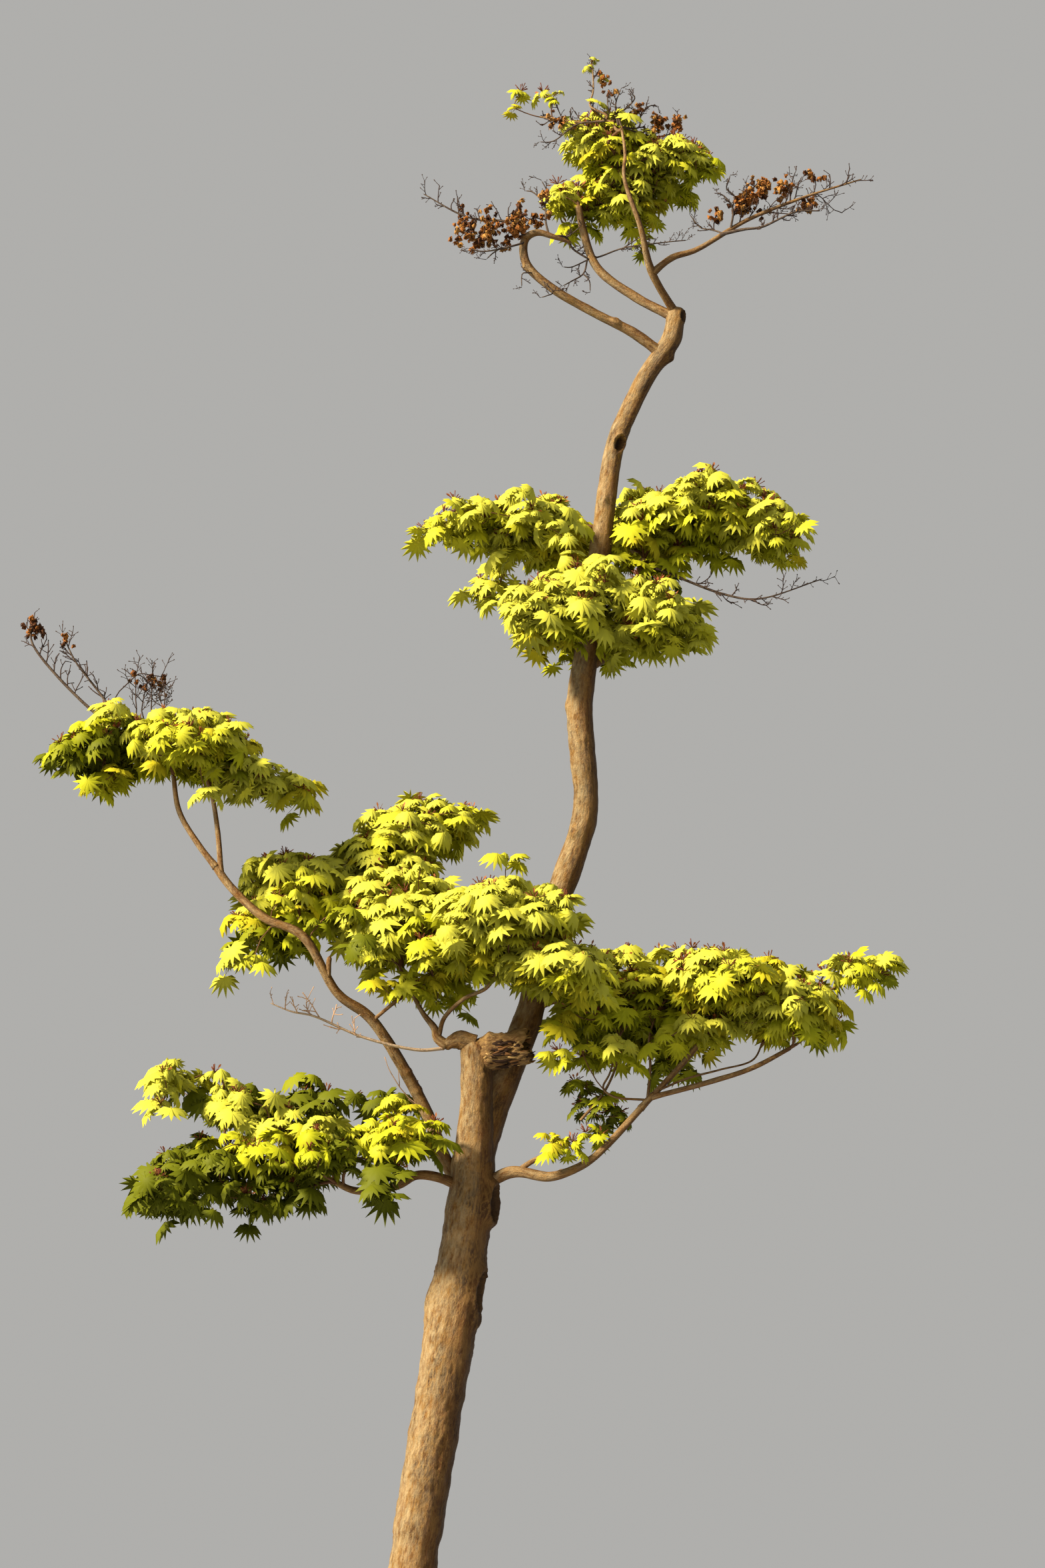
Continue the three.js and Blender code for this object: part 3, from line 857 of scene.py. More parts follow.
pale_finish = bark_material("bleached_wood", PALE_WOOD)

for number, name in enumerate([*DEAD_LIMBS, *SMALL_DEAD]):
    finish = pale_finish if name == "pale_dead_twig" else dead_finish
    nodes = [name] if name in DEAD_LIMBS else []
    shift = DEAD_BARK + NEXT_DEAD_BARK * number
    bark = wrap_limb(name, SMALL_AROUND, SMALL_SPACING, DEAD_STRENGTH, shift)
    settle(bark, "dead_twig", [finish], *nodes)
print(len(DEAD_LIMBS) + len(SMALL_DEAD), "dead limbs")

# %% [markdown]
# Foliage. Each tier is a cloud of leaf rosettes. The lumps of the CAD model say where it is, but
# a tier should read as one cloud and not as lumps, so their depths are blended: a place between
# two lumps counts as inside when it is close to both. A slow noise opens gaps and lets some
# shoots stand out. A place is taken when no other rosette of the tier is too near, and the seeded
# generator makes the same tree on every run.

# %% Places of the rosettes
SEED = 20
TIERS = {
    "crown": ["crown_left", "crown_right", "crown_low", "crown_under"],
    "middle": [
        "middle_left_tip", "middle_left", "middle_right", "middle_right_top", "middle_right_tip",
        "middle_front_left", "middle_front_right",
    ],
    "far_left": ["far_left_tip", "far_left", "far_left_right"],
    "central": [
        "central_top", "central_left", "central_left_low", "central_middle", "central_front",
        "central_right",
    ],
    "right": ["right_inner", "right_middle", "right_tip", "right_far"],
    "low_left": [
        "lower_left_tip", "lower_left_upper", "lower_left_back", "lower_left", "lower_left_inner",
    ],
}
# half a leaf in metres, the noise over which rosettes stand, and the share of rosettes with a tuft
TIER_TABLE = {
    "crown": (0.034, -0.20, 0.85),
    "middle": (0.041, -0.42, 0.55),
    "far_left": (0.040, -0.36, 0.45),
    "central": (0.043, -0.31, 0.45),
    "right": (0.040, -0.16, 0.50),
    "low_left": (0.044, -0.10, 0.35),
}
BLEND = 0.052  # how far apart two lumps may lie and still join, in metres
ROOM_ABOVE, ROOM_BESIDE, ROOM_BELOW = 0.50, 1.28, 1.15  # free depth round a rosette, in half leaves
RAGGED = {"scale": 9.0, "height": 0.018}
GAP_SCALE = 6.5
GAP_SHIFT = Vector((7, 3, 5))
APART = np.array([1.04, 1.04, 0.70])  # least distance of two rosettes, in half leaves
TRIES = 9  # random tries for each rosette that a lump could hold
SHARE_KEPT = {
    "central_left_low": 0.55,
    "lower_left_tip": 0.70,
    "lower_left_upper": 0.60,
    "lower_left_back": 0.50,
    "lower_left": 0.75,
}
# limbs that nothing hides, and the height from which they are in sight
SHOWN = {
    "crown": [("crown_leader", 4.45), ("crown_middle_bough", 4.40)],
    "middle": [("trunk", 3.745)],
    "far_left": [],
    "central": [("trunk", 2.95), ("left_bough", 2.3), ("sawn_stub", 2.3)],
    "right": [("trunk", 2.79), ("right_bough", 2.2), ("sawn_stub", 2.3)],
    "low_left": [("left_bough", 2.3), ("front_stem", 2.2)],
}
SHOWN_CLEAR = 0.030
# parts of the view without leaves: left, low, right and high side, in metres
BARE_VIEW = [
    (0.09, 2.33, 0.27, 2.63),  # left of the second stem
    (0.46, 2.845, 0.80, 3.20),  # right of the trunk, over the right tier
    (-0.17, 3.19, 0.00, 3.36),  # between the far left and the central tier
    (-0.21, 3.07, -0.07, 3.19),  # above the central tier's left side
    (-0.90, 3.34, -0.80, 3.50),  # left of the far left tier
    (-0.10, 3.93, 0.41, 4.15),  # over the middle tier's left wing
    (0.20, 3.45, 0.345, 3.68),  # left of the middle tier's front
    (0.30, 3.40, 0.80, 3.56),  # under the middle tier's front
    (0.36, 4.70, 0.43, 4.84),  # left of the crown's lowest leaves
    (-0.60, 2.70, -0.375, 2.90),  # left of the central tier's lowest leaves
    (0.845, 3.995, 1.10, 4.15),  # over the right end of the middle tier
    (0.70, 4.025, 0.85, 4.15),  # over the middle of its right wing
    (0.15, 3.65, 0.29, 3.80),  # between the middle tier's left wing and its front
    (0.85, 2.795, 1.105, 2.95),  # over the right tier
]

rng = np.random.default_rng(SEED)


def mass_tree(name):
    corners, triangles = merged(name)
    return BVHTree.FromPolygons(corners.tolist(), triangles.tolist())


def depths_in(trees, place, half):
    """How much deeper a place lies in each lump than a rosette needs, negative where it can't be."""
    depths = []
    for tree in trees:
        nearest, normal, _, distance = tree.find_nearest(place)
        end_room = ROOM_ABOVE if normal.z > 0 else ROOM_BELOW
        room = ROOM_BESIDE + (end_room - ROOM_BESIDE) * abs(normal.z)
        depths.append((distance if (place - nearest).dot(normal) < 0 else -distance) - room * half)
    return np.array(depths)


def blended(depths):
    return BLEND * math.log(np.exp(depths / BLEND).sum())


def is_bare(tier, place):
    """Whether a rosette would hang where the tree is bare, or hide a limb that is in sight."""
    if any(left < place.x < right and low < place.z < high for left, low, right, high in BARE_VIEW):
        return True
    for name, above in SHOWN[tier]:
        line, radii = limbs[name]["line"], limbs[name]["radii"]
        gaps = np.hypot(line[:, 0] - place.x, line[:, 2] - place.z)
        k = int(np.argmin(gaps))
        in_front = gaps[k] < radii[k] + SHOWN_CLEAR and place.y < line[k, 1] + SHOWN_CLEAR
        if place.z > above and in_front:
            return True
    return False


def rosettes_in_tier(tier):
    """Random places for the rosettes of a tier, and the lump that each belongs to."""
    names = TIERS[tier]
    half, gap_level, _ = TIER_TABLE[tier]
    trees = [mass_tree(name) for name in names]
    kept = np.empty((0, 3))
    owners = []
    for name in names:
        low, high = (np.array(corner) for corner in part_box(name))
        low, high = low - BLEND / 2, high + BLEND / 2
        cell = np.prod(APART * half)
        for share in rng.random((int(TRIES * np.prod(high - low) / cell), 3)):
            place = low + (high - low) * share
            if len(kept) and (np.linalg.norm((kept - place) / (APART * half), axis=1) < 1).any():
                continue
            spot = Vector(place)
            depths = depths_in(trees, spot, half)
            edge = RAGGED["height"] * noise.noise(spot * RAGGED["scale"])
            if blended(depths) < edge or is_bare(tier, spot):
                continue
            if noise.noise(spot * GAP_SCALE + GAP_SHIFT) > gap_level:
                kept = np.vstack([kept, place])
                owners.append(names[int(depths.argmax())])
    lucky = rng.random(len(kept)) < np.array([SHARE_KEPT.get(name, 1.0) for name in owners])
    return kept[lucky], np.array(owners)[lucky]


targets, owner_mass, half_of = [], [], []
for tier in TIERS:
    places, owners = rosettes_in_tier(tier)
    targets.append(places)
    owner_mass += owners.tolist()
    half_of += [TIER_TABLE[tier][0]] * len(places)
    print(tier, len(places), "rosettes")

# %% [markdown]
# A few shoots stand apart from the clouds: the last ones at the top of the tree, with half-open
# leaves, a sprig in front of the right bough, some leaves behind the trunk in the middle tier and
# a spray against the trunk's left side. Their rosettes are listed one by one.

# %% Rosettes that stand apart
# for each lump, the places of its lone rosettes and their half leaves, in millimetres
LONE_ROSETTES = {
    "crown_left": [(536, -20, 5090, 11), (521, -24, 5068, 15), (556, -20, 5044, 14)],
    "sprig_left": [
        (350, -22, 4998, 24), (338, -20, 4962, 19), (408, -30, 4992, 25), (430, -44, 4972, 17),
        (448, -20, 5006, 12),
    ],
    "right_sprig": [
        (426, -66, 2378, 34), (470, -70, 2362, 33), (508, -62, 2386, 34), (541, -60, 2378, 30),
        (449, -90, 2342, 30),
    ],
    "right_inner": [
        (482, -4, 2512, 36), (516, 10, 2496, 38), (562, 6, 2476, 38), (535, -10, 2438, 36),
        (582, 0, 2440, 36), (497, 16, 2462, 34),
    ],
    "middle_right": [
        (589, 30, 3832, 38), (644, 40, 3860, 40), (619, 50, 3794, 40), (680, 40, 3810, 38),
        (716, 60, 3771, 36), (741, 60, 3827, 38), (668, 60, 3759, 34), (571, 40, 3860, 38),
    ],
    "lower_left_inner": [
        (95, -120, 2382, 47), (132, -130, 2366, 44), (150, -115, 2401, 36), (58, -130, 2358, 47),
        (108, -130, 2340, 42), (45, -70, 2457, 34), (22, -120, 2389, 46), (94, -70, 2450, 30),
    ],
}

TIERS["crown"].append("sprig_left")
TIERS["right"].append("right_sprig")
live_names = [name for names in TIERS.values() for name in names]
for name, rows in LONE_ROSETTES.items():
    for *place, half in rows:
        targets.append(np.array([place]) * MM)
        half_of.append(half * MM)
        owner_mass.append(name)
targets, half_of = np.vstack(targets), np.array(half_of)
owner_mass = np.array([live_names.index(name) for name in owner_mass])
print(len(targets), "rosettes in all")

# %% [markdown]
# Twigs. A real twig grows towards the light by the shortest way that its own bends allow. Here
# the rosettes are joined one by one: the next one is always that with the cheapest step to a limb
# or to a rosette that is already joined, where the cost is the gap, more for a sharp turn, plus
# a share of the whole way back to the limb. The twigs then thicken towards the limb, because the
# cube of a twig's radius is the sum of the cubes of those that it carries.

# %% Branching rule
TURN_COST = 0.55
WAY_COST = 0.20
START_EVERY = 4  # a twig may leave a limb at every fourth place of its middle line


def step_cost(steps, heading, way):
    length = np.linalg.norm(steps, axis=-1)
    aligned = (steps * heading).sum(axis=-1) / np.maximum(length, TINY)
    return length * (1 + TURN_COST * (1 - aligned)) + WAY_COST * way


def grow(targets, starts, headings):
    """For each target, the number of the place that carries it, and the order of joining."""
    first = len(starts)
    places = np.vstack([starts, targets])
    heading = np.vstack([headings, np.zeros_like(targets)])
    way = np.zeros(len(places))
    cost = step_cost(targets[None] - starts[:, None], headings[:, None], 0.0)
    source, best = cost.argmin(axis=0), cost.min(axis=0)
    waiting = np.ones(len(targets), dtype=bool)
    order = []
    for _ in targets:
        k = int(np.argmin(np.where(waiting, best, np.inf)))
        waiting[k] = False
        order.append(k)
        step = targets[k] - places[source[k]]
        way[first + k] = way[source[k]] + np.linalg.norm(step)
        heading[first + k] = unit(step)
        cost = step_cost(targets - targets[k], heading[first + k], way[first + k])
        better = waiting & (cost < best)
        best[better] = cost[better]
        source[better] = first + k
    return {"places": places, "heading": heading, "source": source, "order": order, "first": first}


def shoots_carried(tree):
    """How many shoots hang on each target, its own among them."""
    carried = np.ones(len(tree["source"]))
    for k in reversed(tree["order"]):
        parent = tree["source"][k] - tree["first"]
        if parent >= 0:
            carried[parent] += carried[k]
    return carried


def limb_starts(names):
    lines = [limbs[name]["line"][::START_EVERY] for name in names]
    headings = [unit(np.gradient(limbs[name]["line"], axis=0))[::START_EVERY] for name in names]
    return np.vstack(lines), np.vstack(headings)


live = grow(targets, *limb_starts([*LIVE_LIMBS, *SMALL_LIVE]))
carried = shoots_carried(live)
heading_of = live["heading"][live["first"] :]
print("thickest twig carries", int(carried.max()), "shoots")

# %% [markdown]
# Many thin round pieces are made at once, as arrays: every tube has the same number of rings and
# sides, so one list of faces serves for all, shifted by each tube's first corner. Copies of an
# object for each twig would do too, but thousands of objects are slow to handle.

# %% Tubes and joined meshes
UPRIGHT = 0.9  # a tube steeper than this is measured from the right and not from above
FOOT_SINK = 0.5  # how far a tube's foot goes into its carrier, in radii


def join_copies(points, faces):
    """Many copies of one shape, points (copies, corners, 3), as one list of points and faces."""
    copies, corners, _ = points.shape
    shifted = faces[None] + (np.arange(copies) * corners)[:, None, None]
    return points.reshape(-1, 3), shifted.reshape(-1, 3)


def tubes(lines, radii, sides):
    """Closed tapering tubes along lines (tubes, steps, 3) with radii (tubes, steps)."""
    count, steps, _ = lines.shape
    along = unit(np.gradient(lines, axis=1))
    chord = unit(lines[:, -1] - lines[:, 0])
    helper = np.where(np.abs(chord[:, 2:]) > UPRIGHT, RIGHT, UP)
    right = unit(np.cross(along, helper[:, None]))
    back = np.cross(along, right)
    angle = np.arange(sides) * (2 * math.pi / sides)
    ring = turned(angle, right[:, :, None], back[:, :, None])
    body = (lines[:, :, None] + radii[:, :, None, None] * ring).reshape(count, steps * sides, 3)
    foot = lines[:, 0] - along[:, 0] * radii[:, :1] * FOOT_SINK
    tip = lines[:, -1] + along[:, -1] * radii[:, -1:]
    points = np.concatenate([body, foot[:, None], tip[:, None]], axis=1)
    faces = []
    for i in range(steps - 1):
        for j in range(sides):
            a, b = i * sides + j, i * sides + (j + 1) % sides
            faces += [(a, b, b + sides), (a, b + sides, a + sides)]
    last = (steps - 1) * sides
    for j in range(sides):
        k = (j + 1) % sides
        faces += [(steps * sides, k, j), (last + j, last + k, steps * sides + 1)]
    return join_copies(points, np.array(faces))


def piece_from(name, parts):
    """One mesh from parts of (points, triangles, numbers of their finishes)."""
    points, faces, indices, used = [], [], [], 0
    for part_points, part_faces, finish in parts:
        points.append(part_points)
        faces.append(part_faces + used)
        indices.append(np.broadcast_to(finish, len(part_faces)))
        used += len(part_points)
    points, faces, indices = np.vstack(points), np.vstack(faces), np.concatenate(indices)
    mesh = bpy.data.meshes.new(name)
    mesh.vertices.add(len(points))
    mesh.vertices.foreach_set("co", points.ravel())
    mesh.loops.add(faces.size)
    mesh.loops.foreach_set("vertex_index", faces.ravel())
    mesh.polygons.add(len(faces))
    mesh.polygons.foreach_set("loop_start", np.arange(0, faces.size, 3))
    mesh.polygons.foreach_set("material_index", indices.astype(np.int32))
    mesh.update(calc_edges=True)
    piece = bpy.data.objects.new(name, mesh)
    bpy.context.scene.collection.objects.link(piece)
    return piece


print("tubes and joined meshes are ready")

# %% [markdown]
# The sawn stub gets its torn look from shreds of wood that lie over it and stand out past its
# broken end. Each is a thin tube that tapers at both ends and leans a little across the grain.

# %% Shreds of the stub
SHREDS = 130
SHRED_FROM = (0.08, 0.80)  # where shreds begin, as a share of the stub's length
SHRED_LENGTH = (0.020, 0.062)
SHRED_RADII = np.array([0.0008, 0.0036, 0.0030, 0.0006])
SHRED_DEPTH = np.array([0.84, 1.00, 1.03, 0.98])  # distance from the stub's middle, in its radii
SHRED_LEAN = 0.30
SHRED_PAST = 0.016
SHRED_TINTS = {
    "shred_light": (0.520, 0.330, 0.130),
    "shred_brown": (0.170, 0.076, 0.024),
    "shred_dark": (0.028, 0.011, 0.004),
}
SHRED_CHANCE = (0.30, 0.26, 0.44)
SHRED_SIDES = 4
SHRED_ROUGHNESS = 0.8


def luck(span):
    """One random value in a span for each shred."""
    return rng.uniform(*span, (SHREDS, 1))


def shred_lines():
    """Lines of the shreds, over the stub's surface and a little past its end."""
    limb = limbs["sawn_stub"]
    along, rights, backs = turning_frames(limb["line"])
    steps = np.linspace(0, 1, len(SHRED_RADII))
    last = limb["run"][-1]
    run = luck(SHRED_FROM) * last + luck(SHRED_LENGTH) * steps
    run = np.minimum(run, last + SHRED_PAST * luck((0, 1)) + steps * MM)
    turn = luck((0, 2 * math.pi)) + rng.normal(0, SHRED_LEAN, (SHREDS, 1)) * steps
    k = np.clip(np.searchsorted(limb["run"], run), 0, len(limb["run"]) - 1)
    out = turned(turn, rights[k], backs[k])
    reach = (limb["radii"][k] * stub_neck(run) * SHRED_DEPTH)[..., None]
    return limb["line"][k] + out * reach + along[-1] * np.maximum(run - last, 0)[..., None]


shred_finishes = [plain_material(name, colour, SHRED_ROUGHNESS) for name, colour in SHRED_TINTS.items()]
points, faces = tubes(shred_lines(), np.tile(SHRED_RADII, (SHREDS, 1)), SHRED_SIDES)
shred_tint = rng.choice(len(SHRED_TINTS), SHREDS, p=SHRED_CHANCE)
shreds = piece_from("sawn_stub_shreds", [(points, faces, np.repeat(shred_tint, len(faces) // SHREDS))])
settle(shreds, "sawn_wood", shred_finishes)
print(SHREDS, "shreds")

# %% [markdown]
# Each twig is a short curve from its carrier to its rosette. It first goes on in its carrier's
# direction and then bends towards its own end, as a side shoot does.

# %% Twigs
TWIG_TIP = 0.0011
TWIG_STEPS = 4
TWIG_ROUND = 5  # sides of a twig
TWIG_BEND = 0.38  # how far a twig goes on in its carrier's direction before it turns
TWIG_TAPER = 1.18

twig_finish = plain_material("twig_bark", (0.150, 0.068, 0.028), roughness=0.7)
stalk_finish = plain_material("leaf_stalk", (0.34, 0.28, 0.04), roughness=0.6)


def twig_lines(tree):
    """A curved line from each target's carrier to the target."""
    start = tree["places"][tree["source"]]
    end = tree["places"][tree["first"] :]
    gap = np.linalg.norm(end - start, axis=1, keepdims=True)
    bow = start + tree["heading"][tree["source"]] * gap * TWIG_BEND
    t = np.linspace(0, 1, TWIG_STEPS)[None, :, None]
    return (1 - t) ** 2 * start[:, None] + 2 * t * (1 - t) * bow[:, None] + t**2 * end[:, None]


def twig_radii(tree, tip):
    """Radii along each twig, by how many shoots it carries."""
    own = tip * shoots_carried(tree) ** (1 / 3)
    return own[:, None] * np.linspace(TWIG_TAPER, 1.0, TWIG_STEPS)[None]


lines = twig_lines(live)
widths = twig_radii(live, TWIG_TIP)
print("thickest twig", round(widths.max() * 2e3, 1), "mm")

# %% [markdown]
# A leaf. On this maple it has eleven pointed lobes like the ribs of a parasol, and hangs from a
# thin stalk with its lobes bent down on an arc. Each lobe has a raised midrib and a valley on
# either side, four triangles in all, so that thousands of leaves stay light.

# %% Leaf shape
LOBE_TURNS = np.radians([-150, -120, -90, -60, -30, 0, 30, 60, 90, 120, 150])
LOBE_REACH = np.array([0.66, 0.80, 0.90, 0.96, 0.99, 1.0, 0.99, 0.96, 0.90, 0.80, 0.66])
VALLEY_REACH = 0.48
VALLEY_SINK = 0.095
HEEL = {"turn": math.radians(170), "reach": 0.14}
RIB = {"reach": 0.56, "rise": 0.100}
# slope of the lobes at the stalk, and how much further they bend down, in radians: open to young
BENDS = ((0.15, 0.45), (0.40, 0.55), (0.70, 0.65), (1.05, 0.60))


def leaf_shape(slope, curl):
    """Corners and triangles of one leaf: stalk at the origin, middle lobe along +X, top side +Z."""
    def at(turn, reach, rise):
        bent = slope + reach * curl
        out = (math.sin(bent) - math.sin(slope)) / curl + rise * math.sin(bent)
        fall = (math.cos(slope) - math.cos(bent)) / curl - rise * math.cos(bent)
        return (out * math.cos(turn), out * math.sin(turn), -fall)

    corners = [(0.0, 0.0, 0.0), at(-HEEL["turn"], HEEL["reach"], 0)]
    for i in range(len(LOBE_TURNS) - 1):
        turn = (LOBE_TURNS[i] + LOBE_TURNS[i + 1]) / 2
        reach = VALLEY_REACH * (LOBE_REACH[i] + LOBE_REACH[i + 1]) / 2
        corners.append(at(turn, reach, -VALLEY_SINK))
    corners.append(at(HEEL["turn"], HEEL["reach"], 0))
    faces = []
    for i, (turn, reach) in enumerate(zip(LOBE_TURNS, LOBE_REACH)):
        rib = len(corners)
        corners.append(at(turn, RIB["reach"] * reach, RIB["rise"]))
        corners.append(at(turn, reach, 0))
        outline = [0, i + 1, rib + 1, i + 2]
        faces += [(a, b, rib) for a, b in zip(outline, outline[1:] + outline[:1])]
    return np.array(corners), np.array(faces)


leaf_shapes = [leaf_shape(*bend) for bend in BENDS]
print("a leaf has", len(leaf_shapes[0][0]), "corners and", len(leaf_shapes[0][1]), "triangles")

# %% [markdown]
# A rosette has two or three pairs of leaves, each pair at right angles to the next. The lowest
# pair stands out furthest on the longest stalks, and the top pair is small, stands up and is
# still half folded. The blades hang outwards and down from the ends of their stalks.

# %% Leaves of each rosette
PAIRS = (2, 3)
STALK_RISE = (math.radians(4), math.radians(52))
STALK_LENGTH = (0.95, 0.45)  # of the lowest and the highest pair, in half leaves
BLADE_SIZE = (1.12, 0.78)
BLADE_DROP = (math.radians(32), math.radians(8))
JITTER = {"turn": 0.25, "drop": 0.28, "roll": 0.28, "size": 0.15, "axis": 0.24, "rise": 0.14, "curl": 0.6}
TWIG_PULL = 0.35  # how much a rosette follows its twig's direction
STILL_OUT = 0.05  # keeps a blade's direction when its stalk stands upright


def jitter(what, size):
    return rng.normal(0, JITTER[what], size)


def on_span(span, share):
    """The value at a share of the way from the first to the second value of a span."""
    return span[0] + (span[1] - span[0]) * share


def rosette_leaves(places, headings, half):
    """Stalk ends, blade directions, sizes and shapes of all leaves, and each one's rosette."""
    count = len(places)
    axis = unit(TWIG_PULL * headings + UP + jitter("axis", (count, 3)))
    right = unit(np.cross(axis, unit(rng.normal(0, 1, (count, 3)))))
    back = np.cross(axis, right)
    pairs = rng.integers(PAIRS[0], PAIRS[1] + 1, count)
    owner = np.repeat(np.arange(count), pairs * 2)
    number = np.concatenate([np.arange(2 * n) for n in pairs])
    pair = number // 2
    share = pair / np.maximum(pairs[owner] - 1, 1)
    turn = pair * math.pi / 2 + number % 2 * math.pi + jitter("turn", len(owner))
    out = turned(turn, right[owner], back[owner])
    rise = on_span(STALK_RISE, share) + jitter("rise", len(owner))
    stalk = turned(rise, out, axis[owner])
    size = half[owner] * (1 + jitter("size", len(owner)))
    end = places[owner] + stalk * (size * on_span(STALK_LENGTH, share))[:, None]
    flat = unit(stalk * np.array([1, 1, 0]) + out * STILL_OUT)
    drop = on_span(BLADE_DROP, share) + jitter("drop", len(owner))
    ahead = turned(drop, flat, -UP)
    side = unit(np.cross(UP, ahead))
    top = np.cross(ahead, side)
    roll = jitter("roll", len(owner))
    side, top = turned(roll, side, top), turned(roll, top, -side)
    blade = size * on_span(BLADE_SIZE, share)
    shape = np.clip(np.rint(0.5 + share + jitter("curl", len(owner))), 0, len(BENDS) - 1)
    return dict(owner=owner, end=end, ahead=ahead, side=side, top=top, blade=blade, shape=shape)


leaves = rosette_leaves(targets, heading_of, half_of)
print(len(leaves["owner"]), "leaves, of each shape:", np.bincount(leaves["shape"].astype(int)).tolist())

# %% [markdown]
# The colours. In the sun the leaves are lemon and lime yellow, inside and under a tier they are
# green to olive, and the low tiers on the left stand in shade and are greener all over. Each
# rosette takes one plain colour by how far it lies to the sunny side of its lump, with some luck.
# This is partly the leaves' own colour, yellower where they grow in the sun, and partly painted
# light and shade: the sunny side of each lump is painted lighter and the far side darker. A lump
# that stands in shade as a whole is painted darker, as painted shade, and one in full sun is
# painted lighter, as painted sunlight.

# %% Leaf colours by rosette
TINTS = {
    "leaf_lemon": (0.620, 0.605, 0.062),
    "leaf_lime": (0.580, 0.565, 0.032),
    "leaf_gold": (0.585, 0.510, 0.020),
    "leaf_spring": (0.565, 0.560, 0.020),
    "leaf_green": (0.470, 0.480, 0.014),
    "leaf_olive": (0.270, 0.285, 0.009),
    "leaf_shade": (0.140, 0.155, 0.006),
}
TINT_LIMITS = [0.26, 0.00, -0.12, -0.45, -0.80, -1.20]  # exposure over which a tint is taken
SUNNY_SIDE = unit(np.array([-0.40, -0.38, 0.84]))
# how much less sunny a whole lump is painted, negative where it is painted sunnier: painted shade that
# darkens all its tints, or painted sunlight that lightens them
LUMP_PAINTED_SHADE = {
    "crown_left": -0.30,
    "middle_front_left": -0.45,
    "middle_front_right": -0.40,
    "middle_left": -0.25,
    "right_inner": 0.60,
    "central_front": -0.35,
    "central_middle": -0.30,
    "central_top": -0.20,
    "far_left_tip": 1.25,
    "far_left_right": -0.30,
    "lower_left_tip": 2.30,
    "lower_left_upper": 2.70,
    "lower_left_back": 1.90,
    "lower_left": 1.05,
    "lower_left_inner": 0.65,
    "central_left_low": 0.80,
}
LUCK = 0.22
LEAF_SHEEN = (0.6, 0.12)  # roughness and gloss


def exposure(places, mass_numbers):
    """How far each place lies to the sunny side of its lump, from about -1 to 1."""
    value = np.zeros(len(places))
    for i, name in enumerate(live_names):
        own = mass_numbers == i
        low, high = (np.array(corner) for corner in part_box(name))
        shares = (places[own] - (low + high) / 2) / ((high - low) / 2)
        value[own] = np.clip(shares, -1, 1) @ SUNNY_SIDE - LUMP_PAINTED_SHADE.get(name, 0)
    return value + rng.normal(0, LUCK, len(places))


leaf_finishes = [plain_material(name, colour, *LEAF_SHEEN) for name, colour in TINTS.items()]
sunny = exposure(targets, owner_mass)
# the tint paints light and shade over the leaves' own colour: paler on the sunny side of a lump, darker
# on its far side
tint_of_rosette = sum((sunny < limit).astype(int) for limit in TINT_LIMITS)
print("rosettes of each tint:", np.bincount(tint_of_rosette, minlength=len(TINTS)).tolist())

# %% [markdown]
# The leaves of one lump are joined into one piece that takes the lump's place. All copies of a
# shape are turned and moved at once, by multiplying its corners with each leaf's three axes.

# %% Leaves joined by lump
def leaf_points(chosen, shape):
    """The corners of the chosen leaves, all of one shape."""
    axes = np.stack([leaves["ahead"][chosen], leaves["side"][chosen], leaves["top"][chosen]], axis=1)
    corners = leaf_shapes[shape][0] @ axes
    return leaves["end"][chosen][:, None] + leaves["blade"][chosen][:, None, None] * corners


leaf_triangles = 0
for i, name in enumerate(live_names):
    parts = []
    for shape, (_, faces_of_one) in enumerate(leaf_shapes):
        chosen = np.flatnonzero((owner_mass[leaves["owner"]] == i) & (leaves["shape"] == shape))
        points, faces = join_copies(leaf_points(chosen, shape), faces_of_one)
        tints = np.repeat(tint_of_rosette[leaves["owner"][chosen]], len(faces_of_one))
        parts.append((points, faces, tints))
        leaf_triangles += len(faces)
    settle(piece_from("leaves_" + name, parts), "leaf", leaf_finishes, name)
print("leaf pieces:", len(live_names), "with", leaf_triangles, "triangles")

# %% [markdown]
# The twigs of a tier make one piece with the leaf stalks. A stalk is so thin that a straight tube
# with three sides serves. Both show under the tier and through its gaps.

# %% Twigs and stalks joined by tier
STALK_SIDES = 3
STALK_RADIUS = 0.0007
stalk_lines = np.stack([targets[leaves["owner"]], leaves["end"]], axis=1)


def in_tier(tier):
    return np.isin(owner_mass, [live_names.index(name) for name in TIERS[tier]])


for tier in TIERS:
    mine = in_tier(tier)
    points, faces = tubes(lines[mine], widths[mine], TWIG_ROUND)
    own_stalks = stalk_lines[mine[leaves["owner"]]]
    stalk_widths = np.full(own_stalks.shape[:2], STALK_RADIUS)
    stalk_points, stalk_faces = tubes(own_stalks, stalk_widths, STALK_SIDES)
    parts = [(points, faces, 0), (stalk_points, stalk_faces, 1)]
    settle(piece_from("twigs_" + tier, parts), "twig", [twig_finish, stalk_finish])
    print(tier, "twigs", int(mine.sum()), "triangles", len(faces) + len(stalk_faces))

# %% [markdown]
# Last year's flowers leave red-brown tufts where the leaf stalks meet, with the first winged
# fruit among them. A tuft is a handful of short spikes that fan out from the rosette's middle,
# and a winged fruit is a pair of thin blades.

# %% Tufts and winged fruit
TUFT_SPIKES = 11
TUFT_REACH = (0.012, 0.026)
TUFT_RADII = (0.0007, 0.0014)
TUFT_FAN, WING_FAN = (0.2, 1.45), (0.2, 1.7)  # lean from the rosette's axis, in radians
TUFT_PULL = 0.4  # how much a tuft follows its twig's direction
TUFT_LIFT = 0.010
TUFT_LEAST = 0.020  # half a leaf, in metres, of the smallest rosette with a tuft
WING = {"length": 0.016, "width": 0.0055, "count": 2, "widest": 0.62}

